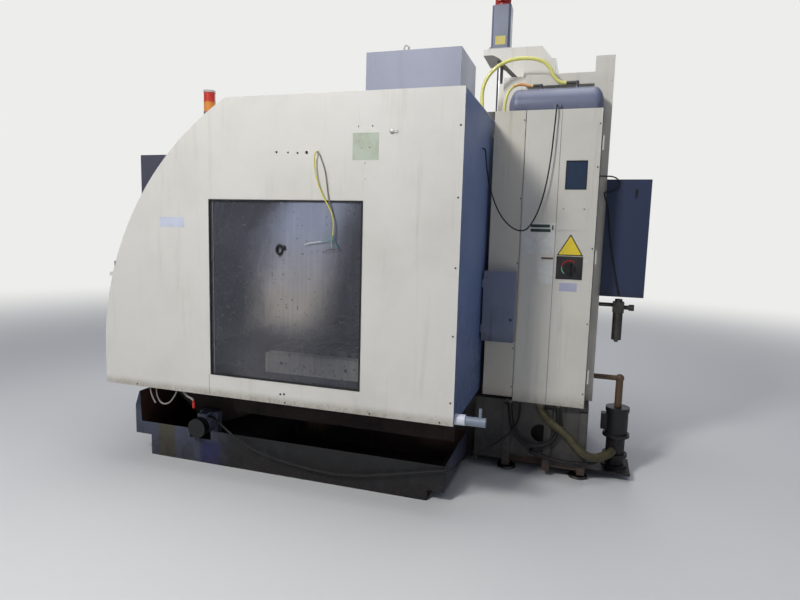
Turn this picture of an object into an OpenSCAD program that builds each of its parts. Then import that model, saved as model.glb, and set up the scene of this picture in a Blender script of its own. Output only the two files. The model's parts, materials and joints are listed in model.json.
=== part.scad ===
// Vertical CNC machining center: bed and column castings, cross table, head with
// spindle, tool magazine, sheet enclosure with a curved front, cabinets and air tank.
// Millimetres. The origin is on the floor, under the middle of the machine.
// +X is the operator's right, -Y is the front with the door, +Z is up.

/* [Enclosure] */
// Width across the two side panels
enclosure_w = 2600; // [2500:10:2900]
// Height of the panels' bottom edge above the floor
panel_bottom_z = 520; // [490:5:540]
// Height of the flat roof above the floor
roof_z = 2180; // [2140:5:2195]
// Distance from the origin back to the rear panels
rear_y = 770; // [767:1:774]
// Distance from the origin forward to the flat lower front
front_reach = 1410; // [1380:5:1430]
// Radius of the curved front
front_radius = 1700; // [1660:10:1760]
// Height at which the straight lower front turns into the curve
front_centre_z = 700; // [670:5:730]
// Thickness of the enclosure's sheet
sheet_t = 3; // [2:0.5:4]
// Width of the side panels' folded edges
flange_w = 35; // [25:1:45]
// Distance from the origin to the side window's rear edge
window_rear_y = 262; // [200:2:300]
// Width of the side window
window_w = 920; // [700:10:960]
// Height of the side window's bottom edge
window_z = 645; // [620:5:700]
// Height of the side window
window_h = 995; // [800:5:1010]
// Thickness of the glass in the windows
glass_t = 6; // [5:0.5:8]
// Width of the notch in the roof that the head passes through
roof_notch_w = 570; // [540:5:620]
// How far in front of the origin the roof notch starts
roof_notch_reach = 185; // [170:5:230]

/* [Door] */
// Width of the door opening
door_open_w = 820; // [760:10:840]
// Height of the door opening's bottom edge
door_open_z = 980; // [960:5:1050]
// Height of the door opening's top edge
door_open_top_z = 2080; // [1950:5:2090]
// How far the door laps over each side of its opening
door_lap = 25; // [20:1:30]
// Thickness of the door leaf
door_t = 22; // [18:1:26]
// Gap between the front sheet and the door leaf
door_gap = 6; // [4:0.5:8]
// Width of the door's frame round its glass
door_frame_w = 90; // [70:5:120]

/* [Castings] */
// Width of the bed under the saddle
bed_w = 840; // [800:10:900]
// Width of the bed under the column
bed_rear_w = 1000; // [960:10:1010]
// Height of the bed's underside above the floor
bed_z = 40; // [36:1:60]
// Height of the bed's flat top
bed_top_z = 460; // [455:1:464]
// Distance from the origin forward to the bed's front end
bed_reach = 500; // [480:5:540]
// Width of one box way
way_w = 90; // [70:5:100]
// Height of one box way
way_h = 40; // [35:1:42]
// Distance between the middles of the two Y ways
y_way_pitch = 600; // [560:10:640]
// Width of the column
column_w = 600; // [590:2:604]
// Distance from the origin back to the column's front face
column_y = 800; // [795:1:810]
// Distance from the origin back to the column's rear face
column_rear_y = 1450; // [1446:1:1452]
// Height of the column's flat top
column_top_z = 2460; // [2450:2:2480]
// Distance between the middles of the two Z ways
z_way_pitch = 390; // [370:5:400]

/* [Axes] */
// Table travel to the operator's right from where it stands
x_right = 110; // [0:5:120]
// Table travel to the operator's left from where it stands
x_left = 910; // [0:10:930]
// Saddle travel backwards from where it stands
y_back = 530; // [0:10:535]
// How far right of the origin the table's middle stands
table_x = 400; // [380:5:420]
// How far in front of the origin the saddle's middle stands
saddle_reach = 130; // [120:2:140]
// Length of the table
table_l = 1200; // [1100:10:1220]
// Width of the table
table_w = 560; // [520:10:580]
// Height of the table's working face
table_z = 780; // [770:1:800]
// Width of a T-slot's neck
slot_w = 18; // [14:1:22]
// Distance between neighbouring T-slots
slot_pitch = 100; // [60:5:110]
// Diameter of the ball screws
screw_d = 40; // [32:1:44]
// Running clearance between a sliding face and its way
slide_gap = 0.3; // [0.2:0.05:0.5]
// Radial clearance of a turning shaft in its bore
shaft_gap = 0.05; // [0.02:0.01:0.1]

/* [Head] */
// Distance from the origin back to the spindle's axis
spindle_y = 100; // [90:1:110]
// Height of the spindle's nose where the head stands
nose_z = 1500; // [1490:1:1520]
// Diameter of the spindle
spindle_d = 90; // [80:1:100]
// Diameter of the taper's mouth
taper_d = 44.45; // [31.75:0.05:57.15]
// Depth of the taper
taper_l = 65.4; // [48:0.1:80]
// Width of the sheet cover over the spindle motor
head_cover_w = 500; // [480:5:520]
// Height of the top of the head cover
head_cover_top_z = 2685; // [2650:5:2700]
// Width of the head's forward body
head_w = 360; // [340:5:380]
// Height of the head's forward body above the nose
head_h = 560; // [540:5:570]

/* [Magazine] */
// Number of tool pockets
pockets = 12; // [8:1:14]
// Radius of the circle on which the pockets lie
pocket_r = 250; // [245:1:262]
// Diameter of the grip in a pocket
grip_d = 54; // [46:1:60]
// Height of the carousel plate's underside
carousel_z = 1455; // [1450:1:1465]
// Thickness of the carousel plate
carousel_t = 14; // [12:1:16]
// Distance of the parked carousel's middle left of the spindle
carousel_park = 780; // [760:5:800]

/* [Cabinets] */
// Distance from the origin back to the cabinet's rear edge
cabinet_rear_y = 1403; // [1398:1:1408]
// Distance from the middle to the cabinet's outer face
cabinet_x = 560; // [550:2:580]
// Distance from the middle to the cabinet's back
cabinet_back_x = 350; // [348:0.5:352]
// Height of the cabinet's underside
cabinet_z = 470; // [468:1:480]
// Height of the cabinet face's upper edge
cabinet_top_z = 2205; // [2190:5:2215]
// Distance from the origin back to the cabinet door's front edge
cabinet_seam_y = 979; // [976:1:984]
// Thickness of the cabinet doors
cabinet_door_t = 22; // [18:1:26]
// Width of the terminal box
terminal_w = 190; // [170:2:192]
// Height of the terminal box
terminal_h = 423; // [380:1:440]
// Depth of the terminal box with its cover
terminal_d = 70; // [60:1:80]
// Width of the rear cabinet
rear_cabinet_w = 700; // [640:10:740]
// Height of the rear cabinet's underside
rear_cabinet_z = 1130; // [1120:2:1150]
// Height of the rear cabinet
rear_cabinet_h = 700; // [650:10:740]
// Depth of the rear cabinet with its door
rear_cabinet_d = 250; // [240:1:252]
// Radius of the air tank
air_tank_r = 100; // [90:1:104]
// Length of the air tank
air_tank_l = 540; // [520:2:546]

/* [Coolant] */
// How far each end of the coolant tank lies inside its side panel
tank_inset = 210; // [180:5:240]
// Height of the coolant tank's side walls
tank_wall_h = 214; // [205:1:225]
// Height of the coolant tank's front upstand
tank_front_h = 413; // [400:1:425]
// Radius of the chip auger
auger_r = 62; // [55:1:66]
// Axial length of one turn of the auger
auger_pitch = 120; // [90:5:160]
// Height of the auger's axis
auger_z = 232; // [228:1:240]
// Distance from the origin forward to the auger's axis
auger_reach = 895; // [880:1:905]

/* [Pendant] */
// Width of the control pendant
pendant_w = 400; // [380:5:420]
// Height of the control pendant
pendant_h = 720; // [660:5:740]
// Depth of the control pendant
pendant_d = 220; // [200:2:228]
// Height of the pendant's underside
pendant_z = 1250; // [1245:1:1265]
// Distance from the middle to the pendant's right side
pendant_right_x = 680; // [660:2:700]
// How far the controls stand out of the pendant's face
control_reach = 30; // [28:1:34]
// How far inside the side panel the pendant's pivot stands
pivot_inset = 300; // [260:2:320]
// How far the pendant's face stands in front of the straight lower front
pendant_clear = 260; // [256:1:264]

/* [Hidden] */

$fn = 48;
round_fn = 180;
hull_fn = 24;
seat = 0.3;
eps = 1;

half_w = enclosure_w / 2;
arc_y = front_radius - front_reach;
shell_r = front_radius - sheet_t;
inner_x = half_w - sheet_t;
roof_front_y = arc_y - sqrt(pow(shell_r, 2) - pow(roof_z - sheet_t - front_centre_z, 2));
window_y = window_rear_y - window_w;
pane_lap = 20;
clamp_w = 12;
clamp_h = 4;
panel_gap_x = 345;
rear_lip = 30;
roof_notch_y = -roof_notch_reach;

door_w = door_open_w + 2 * door_lap;
door_r = shell_r + door_gap;
door_z = door_open_z - door_lap;
door_top_z = door_open_top_z + door_lap;
guide_h = 26;
door_glass_r = door_r + door_t / 2 - glass_t / 2;
door_travel_x = door_w / 2 + door_open_w;

saddle_y = -saddle_reach;
bed_y = -bed_reach;
bed_rear_y = column_rear_y - 20;
way_top_z = bed_top_z + way_h;
saddle_z = way_top_z + slide_gap;
saddle_h = 100;
saddle_w = 520;
saddle_l = 900;
saddle_top_z = saddle_z + saddle_h;
x_way_pitch = 340;
x_way_h = 30;
x_way_top_z = saddle_top_z + x_way_h;
x_screw_z = saddle_top_z - 25;
y_screw_z = bed_top_z - 40;
z_screw_y = column_y - 72;
screw_r = screw_d / 2;
journal_r = screw_r - 5;
screw_arm = 660;
table_y = saddle_y;
table_bottom_z = x_way_top_z + slide_gap;

motor_flange = 150;
motor_flange_t = 28;
motor_body = 124;
motor_len = 278;
motor_cap_h = 95;
motor_seat_z = column_top_z + 222;
y_motor_y = bed_y;

cover_z = nose_z + head_h;
carriage_top_z = cover_z + 200;
z_way_depth = 40;
carriage_w = 520;
carriage_y = 560;
cover_front_y = spindle_y - 246;
cover_rear_y = carriage_y - 47;

cabinet_y = cabinet_seam_y - sheet_t;
cabinet_roof_z = cabinet_top_z - 62;
body_front_x = cabinet_x - cabinet_door_t;
filler_y = rear_y + 25;
air_tank_z = cabinet_roof_z + 5 + air_tank_r;
air_tank_x = (cabinet_x + cabinet_back_x) / 2 - 20;
air_tank_y = (filler_y + 65 + cabinet_rear_y) / 2;
switch_y = 1267;
switch_z = 1304;
terminal_y = cabinet_y - 4 - terminal_w;
terminal_z = 845;
rear_cabinet_y = column_rear_y;
back_y = rear_cabinet_y + rear_cabinet_d;

trough_r = auger_r + 10;
auger_y = -auger_reach;
tank_x = half_w - tank_inset;
gearmotor_x = tank_x - 140;
tank_t = 4;
auger_shaft_r = 17;
auger_x0 = -gearmotor_x - 12;
auger_x1 = gearmotor_x + 28;
tank_front_y = -(front_reach - 20);
tank_rear_y = rear_y - 80;
tank_well_x = bed_w / 2 + 40;
tank_well_y = bed_y - 60;

pivot_x = half_w - pivot_inset;
pendant_face_y = -front_reach - pendant_clear;
pendant_back_y = pendant_face_y + pendant_d;
pendant_x = pendant_right_x - pendant_w / 2;
arm_y = pendant_face_y + pendant_d / 2;
bracket_z = pendant_z - 100;
bracket_t = 25;
hub_z = bracket_z + bracket_t + seat;
hub_h = 70;
pivot_r = 20;

// Turns a height on the curved front into its angle about the curve's centre
function arc_angle(z) = asin((z - front_centre_z) / shell_r);

// Turns a length along the curved front into an angle
function arc_step(len) = len / shell_r * 180 / PI;

// A 2D shape in Y and Z, drawn out along X
module along_x(x0, x1) {
    translate([x0, 0, 0]) rotate([90, 0, 90]) linear_extrude(height = x1 - x0) children();
}

// A 2D shape in X and Z, drawn out along Y
module along_y(y0, y1) {
    translate([0, y1, 0]) rotate([90, 0, 0]) linear_extrude(height = y1 - y0) children();
}

module block(x0, x1, y0, y1, z0, z1) {
    translate([x0, y0, z0]) cube([x1 - x0, y1 - y0, z1 - z0]);
}

module rod_x(x0, x1, y, z, r) {
    translate([x0, y, z]) rotate([0, 90, 0]) cylinder(h = x1 - x0, r = r);
}

module rod_y(y0, y1, x, z, r) {
    translate([x, y0, z]) rotate([-90, 0, 0]) cylinder(h = y1 - y0, r = r);
}

// A round bar from point a to point b
module rod_between(a, b, r) {
    d = b - a;
    translate(a) rotate([0, acos(d[2] / norm(d)), atan2(d[1], d[0])])
        cylinder(h = norm(d), r = r);
}

module rod_z(z0, z1, x, y, r) {
    translate([x, y, z0]) cylinder(h = z1 - z0, r = r);
}

module both_sides() {
    children();
    mirror([1, 0, 0]) children();
}

// A strip of thickness t on the left of the line from a to b, in 2D
module strip(a, b, t) {
    d = (b - a) / norm(b - a);
    n = [-d[1], d[0]] * t;
    polygon([a, b, b + n, a + n]);
}

module rounded_rect(w, h, r) {
    square([w - 2 * r, h], center = true);
    square([w, h - 2 * r], center = true);
    for (sx = [-1, 1], sy = [-1, 1])
        translate([sx * (w / 2 - r), sy * (h / 2 - r)]) circle(r = r);
}

// Moves to the centre of the curved front: local X is the radius, local Z runs to -X
module at_arc() {
    translate([0, arc_y, front_centre_z]) rotate([90, 0, -90]) children();
}

// A curved sheet between two radii, two places in X and two angles
module arc_sheet(r0, r1, x0, x1, a0, a1) {
    at_arc() rotate([0, 0, a0]) rotate_extrude(angle = a1 - a0, $fn = round_fn)
        translate([r0, -x1]) square([r1 - r0, x1 - x0]);
}

// Outline of the side panels in Y and Z, drawn in by d
module side_profile(d, rear) {
    intersection() {
        translate([-front_reach + d, panel_bottom_z + d])
            square([front_reach + rear - d, roof_z - panel_bottom_z - 2 * d]);
        union() {
            translate([arc_y, front_centre_z]) circle(r = front_radius - d, $fn = round_fn);
            translate([-front_reach + d, 0]) square([2 * front_radius, front_centre_z]);
        }
    }
}

module window_shape(grow) {
    translate([window_y - grow, window_z - grow])
        square([window_w + 2 * grow, window_h + 2 * grow]);
}

// One side panel: a folded sheet with the window's opening and its clamp frame
module side_panel() {
    clamp_x = inner_x - seat - glass_t - seat - clamp_h;
    difference() {
        along_x(half_w - flange_w, half_w) side_profile(0, rear_y);
        along_x(half_w - flange_w - eps, inner_x) side_profile(sheet_t, rear_y + eps);
        along_x(inner_x - eps, half_w + eps) window_shape(0);
    }
    along_x(clamp_x, inner_x) difference() {
        window_shape(pane_lap + seat + clamp_w);
        window_shape(pane_lap + seat);
    }
    along_x(clamp_x, clamp_x + clamp_h) difference() {
        window_shape(pane_lap + seat + eps);
        window_shape(pane_lap - clamp_w);
    }
}

// Bush in the panel that the loose cable comes out of
module cable_bush() {
    p = panel_cable_route[0];
    rod_x(inner_x + eps, p[0], p[1], p[2], 9);
}

module side_panel_right() {
    color("linen") difference() {
        union() {
            side_panel();
            cable_bush();
        }
        for (p = panel_holes) rod_x(inner_x - eps, half_w + eps, p[0], p[1], p[2]);
    }
}

module side_panel_left() {
    color("linen") mirror([1, 0, 0]) side_panel();
}

module side_glass() {
    color("lightgrey") both_sides()
        along_x(inner_x - seat - glass_t, inner_x - seat) window_shape(pane_lap);
}

module roof_panel() {
    z1 = roof_z - sheet_t;
    color("linen") difference() {
        union() {
            block(-inner_x, inner_x, roof_front_y, rear_y, z1 - sheet_t, z1);
            for (s = [-1, 1])
                block(s * (roof_notch_w / 2 + 10) - 10, s * (roof_notch_w / 2 + 10) + 10,
                    roof_notch_y, rear_y, z1, z1 + 25);
            rod_z(z1 - eps, big_hose_route[0][2], big_hose_route[0][0], big_hose_route[0][1], 17);
        }
        block(-roof_notch_w / 2, roof_notch_w / 2, roof_notch_y, rear_y + eps,
            z1 - sheet_t - eps, z1 + 30);
    }
}

module rear_panels() {
    color("steelblue") both_sides() {
        block(panel_gap_x, inner_x, rear_y - sheet_t, rear_y, panel_bottom_z + sheet_t,
            roof_z - 2 * sheet_t);
        block(panel_gap_x, inner_x - flange_w, rear_y - sheet_t - rear_lip, rear_y - sheet_t + eps,
            panel_bottom_z + sheet_t, panel_bottom_z + 2 * sheet_t);
    }
}

module door_guide(a) {
    step = arc_step(guide_h);
    arc_sheet(shell_r - eps, door_r + door_t, -door_travel_x - 8, door_w / 2 + 8, a, a + step);
}

module front_shell() {
    a_top = asin((roof_z - 2 * sheet_t - front_centre_z) / shell_r);
    color("linen") {
        difference() {
            arc_sheet(shell_r - sheet_t, shell_r, -inner_x, inner_x, 0, a_top);
            arc_sheet(shell_r - 20, shell_r + 20, -door_open_w / 2, door_open_w / 2,
                arc_angle(door_open_z), arc_angle(door_open_top_z));
        }
        block(-inner_x, inner_x, -front_reach + sheet_t, -front_reach + 2 * sheet_t,
            panel_bottom_z + sheet_t, front_centre_z);
        door_guide(arc_angle(door_z) - arc_step(guide_h + seat));
        door_guide(arc_angle(door_top_z) + arc_step(seat));
        difference() {
            block(pivot_x - 50, pivot_x + 50, arm_y - 45, -front_reach + 160,
                bracket_z, bracket_z + bracket_t);
            along_x(pivot_x - 60, pivot_x + 60) translate([arc_y, front_centre_z])
                circle(r = shell_r - eps, $fn = round_fn);
        }
        rod_z(bracket_z + bracket_t - eps, hub_z + hub_h + 8, pivot_x, arm_y, pivot_r);
    }
}

module door_window(grow, r0, r1) {
    arc_sheet(r0, r1, -door_w / 2 + door_frame_w - grow, door_w / 2 - door_frame_w + grow,
        arc_angle(door_z) + arc_step(door_frame_w + 60 - grow),
        arc_angle(door_top_z) - arc_step(door_frame_w - grow));
}

module front_door() {
    handle_x = door_w / 2 - door_frame_w / 2;
    handle_a = arc_angle(1130);
    handle_step = arc_step(240);
    color("linen") {
        difference() {
            arc_sheet(door_r, door_r + door_t, -door_w / 2, door_w / 2,
                arc_angle(door_z), arc_angle(door_top_z));
            door_window(0, door_r - eps, door_r + door_t + eps);
            door_window(12, door_glass_r - seat, door_glass_r + glass_t + seat);
        }
        arc_sheet(door_r + door_t + 28, door_r + door_t + 46, handle_x - 10, handle_x + 10,
            handle_a, handle_a + handle_step);
        for (k = [0.08, 0.92])
            at_arc() rotate([0, 0, handle_a + k * handle_step])
                translate([door_r + door_t - eps, 0, -handle_x]) rotate([0, 90, 0])
                    cylinder(h = 32, r = 8);
    }
}

module door_glass() {
    color("lightgrey") door_window(12 - seat, door_glass_r, door_glass_r + glass_t);
}

// The bed: a casting with a wide rear under the column and two box ways on top
module bed_casting() {
    rear_x = bed_rear_w / 2;
    rear_start_y = column_y - 55;
    color("lightslategrey") difference() {
        union() {
            block(-bed_w / 2, bed_w / 2, bed_y, column_y, bed_z, bed_top_z);
            block(-rear_x, rear_x, rear_start_y, bed_rear_y, bed_z, bed_top_z);
            both_sides()
                block(y_way_pitch / 2 - way_w / 2, y_way_pitch / 2 + way_w / 2, bed_y,
                    column_y - 40, bed_top_z - eps, way_top_z);
            block(-75, 75, bed_y - 30, bed_y, y_screw_z - 60, bed_top_z);
            both_sides() for (y = rear_rib_y)
                block(rear_x - eps, rear_x + 14, y, y + 44, bed_z, bed_top_z - 30);
        }
        block(-62, 62, bed_y + 60, column_y - 100, y_screw_z - 45, way_top_z + eps);
        rod_y(bed_y - 31, bed_y + 61, 0, y_screw_z, journal_r + shaft_gap);
        rod_y(column_y - 101, column_y - 60, 0, y_screw_z, journal_r + shaft_gap);
        both_sides() {
            block(rear_x - 70, rear_x + 15, rear_rib_y[0] + 44, rear_rib_y[1], bed_z - eps, 111);
            block(rear_x - 70, rear_x + 15, rear_rib_y[1] + 44, rear_rib_y[2], bed_z - eps, 62);
            block(rear_x - 70, rear_x + 15, rear_start_y + 24, rear_rib_y[0], bed_z - eps, 75);
            rod_x(rear_x - 60, rear_x + eps, 1153, 269, 56);
            for (y = [bed_y + 60, bed_y + 450, bed_y + 840])
                block(bed_w / 2 - 40, bed_w / 2 + eps, y, y + 330, bed_z + 60, bed_top_z - 60);
        }
    }
}

module levelling_feet() {
    color("dimgrey") both_sides()
        for (p = [[bed_w / 2 - 70, bed_y + 80], [bed_w / 2 - 70, 150],
                  [bed_rear_w / 2 - 70, rear_rib_y[0] + 22],
                  [bed_rear_w / 2 - 70, rear_rib_y[2] + 10]]) {
            translate([p[0], p[1], 0]) cylinder(h = 14, r1 = 60, r2 = 54);
            rod_z(13, bed_z, p[0], p[1], 15);
            translate([p[0], p[1], bed_z - 14]) cylinder(h = 14, r = 26, $fn = 6);
        }
}

module tank_outline() {
    polygon([[tank_front_y, 131], [-1270, 131], [-1270, 0], [tank_rear_y - 100, 0],
        [tank_rear_y - 100, 63], [tank_rear_y, 63], [tank_rear_y, tank_wall_h],
        [tank_front_y + 45, tank_wall_h], [tank_front_y + 38, tank_front_h],
        [tank_front_y + 32, tank_front_h], [tank_front_y, tank_front_h - 95]]);
}

module tank_inside() {
    polygon([[tank_front_y + 45 + tank_t, 131 + tank_t], [-1270 + tank_t, 131 + tank_t],
        [-1270 + tank_t, tank_t], [tank_rear_y - 100 - tank_t, tank_t],
        [tank_rear_y - 100 - tank_t, 63 + tank_t], [tank_rear_y - tank_t, 63 + tank_t],
        [tank_rear_y - tank_t, tank_wall_h + eps],
        [tank_front_y + 45 + tank_t, tank_wall_h + eps]]);
}

// Coolant tank: an open sheet tray, U-shaped in plan, wrapped round the bed's front
module coolant_tank() {
    color("slategrey") difference() {
        along_x(-tank_x, tank_x) tank_outline();
        difference() {
            along_x(-tank_x + tank_t, tank_x - tank_t) tank_inside();
            block(-tank_well_x - tank_t, tank_well_x + tank_t, tank_well_y - tank_t,
                tank_rear_y + eps, -eps, tank_wall_h + 2);
        }
        block(-tank_well_x, tank_well_x, tank_well_y, tank_rear_y + eps, -eps, tank_front_h);
        block(tank_x - tank_t - eps, tank_x + eps, auger_y - 78, auger_y + 78,
            auger_z - 76, tank_wall_h + eps);
    }
}

// Chip trough under the door and the two sloped floors beside the bed
module inner_chutes() {
    trough_x = gearmotor_x - seat;
    t = sheet_t;
    c = [auger_y, auger_z];
    front_top = [-front_reach + 2 * t + seat, panel_bottom_z + 60];
    rear_top = [bed_y - seat, 352];
    corner_z = panel_bottom_z + 80;
    side_y = bed_y - 140;
    rear_end_y = rear_y - t - rear_lip - seat;
    color("darkslategrey") {
        along_x(-trough_x, trough_x) {
            strip(c + [-trough_r - t / 2, -3], front_top, -t);
            strip(rear_top, c + [trough_r + t / 2, -3], -t);
            difference() {
                translate(c) circle(r = trough_r + t);
                translate(c) circle(r = trough_r);
                translate(c + [-200, 0]) square([400, 200]);
            }
        }
        both_sides() {
            along_x(trough_x - t, trough_x) difference() {
                polygon(concat([front_top,
                    [front_top[0], corner_z + t], [rear_top[0], corner_z + t], rear_top],
                    [for (a = [0 : -15 : -180]) c + (trough_r + 1) * [cos(a), sin(a)]]));
                translate(c) circle(r = auger_shaft_r + shaft_gap);
            }
            block(trough_x - t, inner_x, front_top[0], side_y + t, corner_z, corner_z + t);
            along_y(side_y, side_y + t) polygon([[tank_x - 300, 421], [tank_x - 70, 538],
                [inner_x - 30, corner_z + t], [trough_x - t, corner_z + t],
                [tank_x - 300, 450]]);
            along_y(side_y, rear_end_y) {
                strip([inner_x - 1, 610], [tank_x - 70, 540], t);
                strip([tank_x - 70, 540], [tank_x - 300, 420], t);
            }
            block(tank_x, tank_x + t, side_y, rear_end_y, 365, 557);
        }
    }
}

// Square motor with chamfered edges, its shaft end at the origin, drawn up along Z
module motor() {
    c = 14;
    h = motor_body / 2;
    translate([-motor_flange / 2, -motor_flange / 2, 0])
        cube([motor_flange, motor_flange, motor_flange_t]);
    translate([0, 0, motor_flange_t]) linear_extrude(height = motor_len)
        polygon([[-h + c, -h], [h - c, -h], [h, -h + c], [h, h - c],
            [h - c, h], [-h + c, h], [-h, h - c], [-h, -h + c]]);
    for (sx = [-1, 1], sy = [-1, 1])
        translate([sx * (motor_flange / 2 - 14), sy * (motor_flange / 2 - 14), motor_flange_t])
            cylinder(h = 9, r = 9, $fn = 6);
}

module motor_cap() {
    z0 = motor_flange_t + motor_len;
    translate([0, 0, z0]) {
        cylinder(h = motor_cap_h - 12, r = 52);
        translate([0, 0, motor_cap_h - 12]) cylinder(h = 12, r1 = 52, r2 = 42);
        translate([20, -24, 20]) cube([48, 48, 46]);
        translate([68, 0, 43]) rotate([0, 90, 0]) cylinder(h = 26, r = 17);
    }
}

module at_z_motor() {
    translate([0, z_screw_y, motor_seat_z]) children();
}

module at_y_motor() {
    translate([0, bed_y - 30, y_screw_z]) rotate([90, 0, 0]) children();
}

module feed_motors() {
    color("lightslategrey") {
        at_z_motor() motor();
        at_y_motor() motor();
    }
}

module motor_caps() {
    color("firebrick") {
        at_z_motor() motor_cap();
        at_y_motor() motor_cap();
    }
}

// Column with its two Z ways, pads for the cabinet and the cast bracket for the motor
module column() {
    hw = column_w / 2;
    bearing_z = 900;
    top = motor_seat_z;
    color("linen") difference() {
        union() {
            block(-hw, hw, column_y, column_rear_y, bed_top_z, column_top_z);
            both_sides()
                block(z_way_pitch / 2 - 45, z_way_pitch / 2 + 45, column_y - z_way_depth,
                    column_y, bearing_z, column_top_z - 20);
            block(-55, 55, z_screw_y - 45, column_y, bearing_z - 60, bearing_z);
            for (z = [820, 1880])
                block(hw, cabinet_back_x, cabinet_y + 20, cabinet_y + 340, z, z + 40);
            block(-hw, hw, column_y + 120, column_y + 310, column_top_z - eps,
                column_top_z + 100);
            along_x(-150, 150) polygon([[z_screw_y - 92, top], [column_y + 210, top],
                [column_y + 310, column_top_z + 100], [column_y + 310, column_top_z - eps],
                [column_y + 105, column_top_z - eps], [column_y - 55, top - 65],
                [column_y - 100, top - 38], [z_screw_y - 92, top - 38]]);
        }
        block(-120, 120, z_screw_y - 100, column_y + 80, column_top_z - 2, top - 38);
        rod_z(bearing_z - 61, bearing_z + eps, 0, z_screw_y, journal_r + shaft_gap);
        rod_z(top - 39, top + eps, 0, z_screw_y, journal_r + shaft_gap);
        for (z = [600, 1050, 1500, 1950], s = [-1, 1])
            block(s * 150 - 110, s * 150 + 110, column_rear_y - 60, column_rear_y + eps,
                z, z + 360);
        for (z = [620, 1100, 1560, 2020])
            block(-hw - eps, -hw + 50, column_y + 220, column_rear_y - 80, z, z + 340);
    }
}

module saddle() {
    hw = saddle_l / 2;
    y0 = saddle_y - saddle_w / 2;
    y1 = saddle_y + saddle_w / 2;
    way_x = y_way_pitch / 2 + way_w / 2 + slide_gap;
    color("lightslategrey") difference() {
        union() {
            block(-hw, hw, y0, y1, saddle_z, saddle_top_z);
            both_sides()
                block(way_x, way_x + 28, y0, y1, saddle_z - way_h + 8, saddle_z + eps);
            for (s = [-1, 1])
                block(-hw - 40, hw + 40, saddle_y + s * x_way_pitch / 2 - way_w / 2,
                    saddle_y + s * x_way_pitch / 2 + way_w / 2, saddle_top_z - 50,
                    x_way_top_z);
            block(-screw_arm, screw_arm, saddle_y - 60, saddle_y + 60, saddle_z + 10,
                x_screw_z + 22);
            block(-48, 48, saddle_y - 70, saddle_y + 70, y_screw_z - 34, saddle_z + eps);
        }
        block(-screw_arm + 50, screw_arm - 50, saddle_y - 40, saddle_y + 40,
            x_screw_z - 32, x_way_top_z);
        rod_x(-screw_arm - eps, screw_arm + eps, saddle_y, x_screw_z, journal_r + shaft_gap);
        rod_y(saddle_y - 71, saddle_y + 71, 0, y_screw_z, screw_r + shaft_gap);
    }
}

module x_servomotor() {
    color("dimgrey") translate([-screw_arm, saddle_y, x_screw_z]) rotate([0, -90, 0])
        rotate([0, 0, 90]) scale(0.72) {
            motor();
            motor_cap();
        }
}

module x_ballscrew() {
    color("silver") {
        rod_x(-screw_arm + 50 + seat, screw_arm - 50 - seat, saddle_y, x_screw_z, screw_r);
        rod_x(-screw_arm + seat, screw_arm, saddle_y, x_screw_z, journal_r);
    }
}

module y_ballscrew() {
    color("silver") {
        rod_y(bed_y + 60 + seat, column_y - 100 - seat, 0, y_screw_z, screw_r);
        rod_y(bed_y - 30 + seat, column_y - 62, 0, y_screw_z, journal_r);
    }
}

module z_ballscrew() {
    color("silver") {
        rod_z(900 + seat, motor_seat_z - 38 - seat, 0, z_screw_y, screw_r);
        rod_z(842, motor_seat_z - seat, 0, z_screw_y, journal_r);
    }
}

module t_slot() {
    neck_d = 16;
    foot_w = slot_w * 1.75;
    translate([-slot_w / 2, table_z - neck_d - eps]) square([slot_w, neck_d + 2 * eps]);
    translate([-foot_w / 2, table_z - neck_d - 13]) square([foot_w, 14]);
}

// Table with five T-slots, side skirts over the X ways and the screw's nut under it
module table() {
    x0 = table_x - table_l / 2;
    x1 = table_x + table_l / 2;
    skirt_y = x_way_pitch / 2 + way_w / 2 + slide_gap;
    color("silver") difference() {
        union() {
            block(x0, x1, table_y - table_w / 2, table_y + table_w / 2, table_bottom_z, table_z);
            for (s = [-1, 1])
                block(x0, x1, table_y + s * (skirt_y + 11) - 11, table_y + s * (skirt_y + 11) + 11,
                    saddle_top_z + 4, table_bottom_z + eps);
            block(table_x - 50, table_x + 50, table_y - 36, table_y + 36, x_screw_z - 28,
                table_bottom_z + eps);
        }
        for (k = [-2 : 2]) translate([0, table_y + k * slot_pitch, 0])
            along_x(x0 - eps, x1 + eps) t_slot();
        rod_x(table_x - 51, table_x + 51, table_y, x_screw_z, screw_r + shaft_gap);
    }
}

// Folded covers on the table's two ends
module table_end_covers() {
    y0 = table_y - table_w / 2 - 22;
    y1 = table_y + table_w / 2 + 22;
    z0 = table_bottom_z + 2;
    color("linen") for (s = [-1, 1]) translate([table_x + s * table_l / 2, 0, 0])
        mirror([s < 0 ? 1 : 0, 0, 0]) difference() {
            block(0, 80, y0, y1, z0, table_z - 32);
            block(-eps, 80 - sheet_t, y0 + sheet_t, y1 - sheet_t, z0 - eps,
                table_z - 32 - sheet_t);
        }
}

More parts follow.
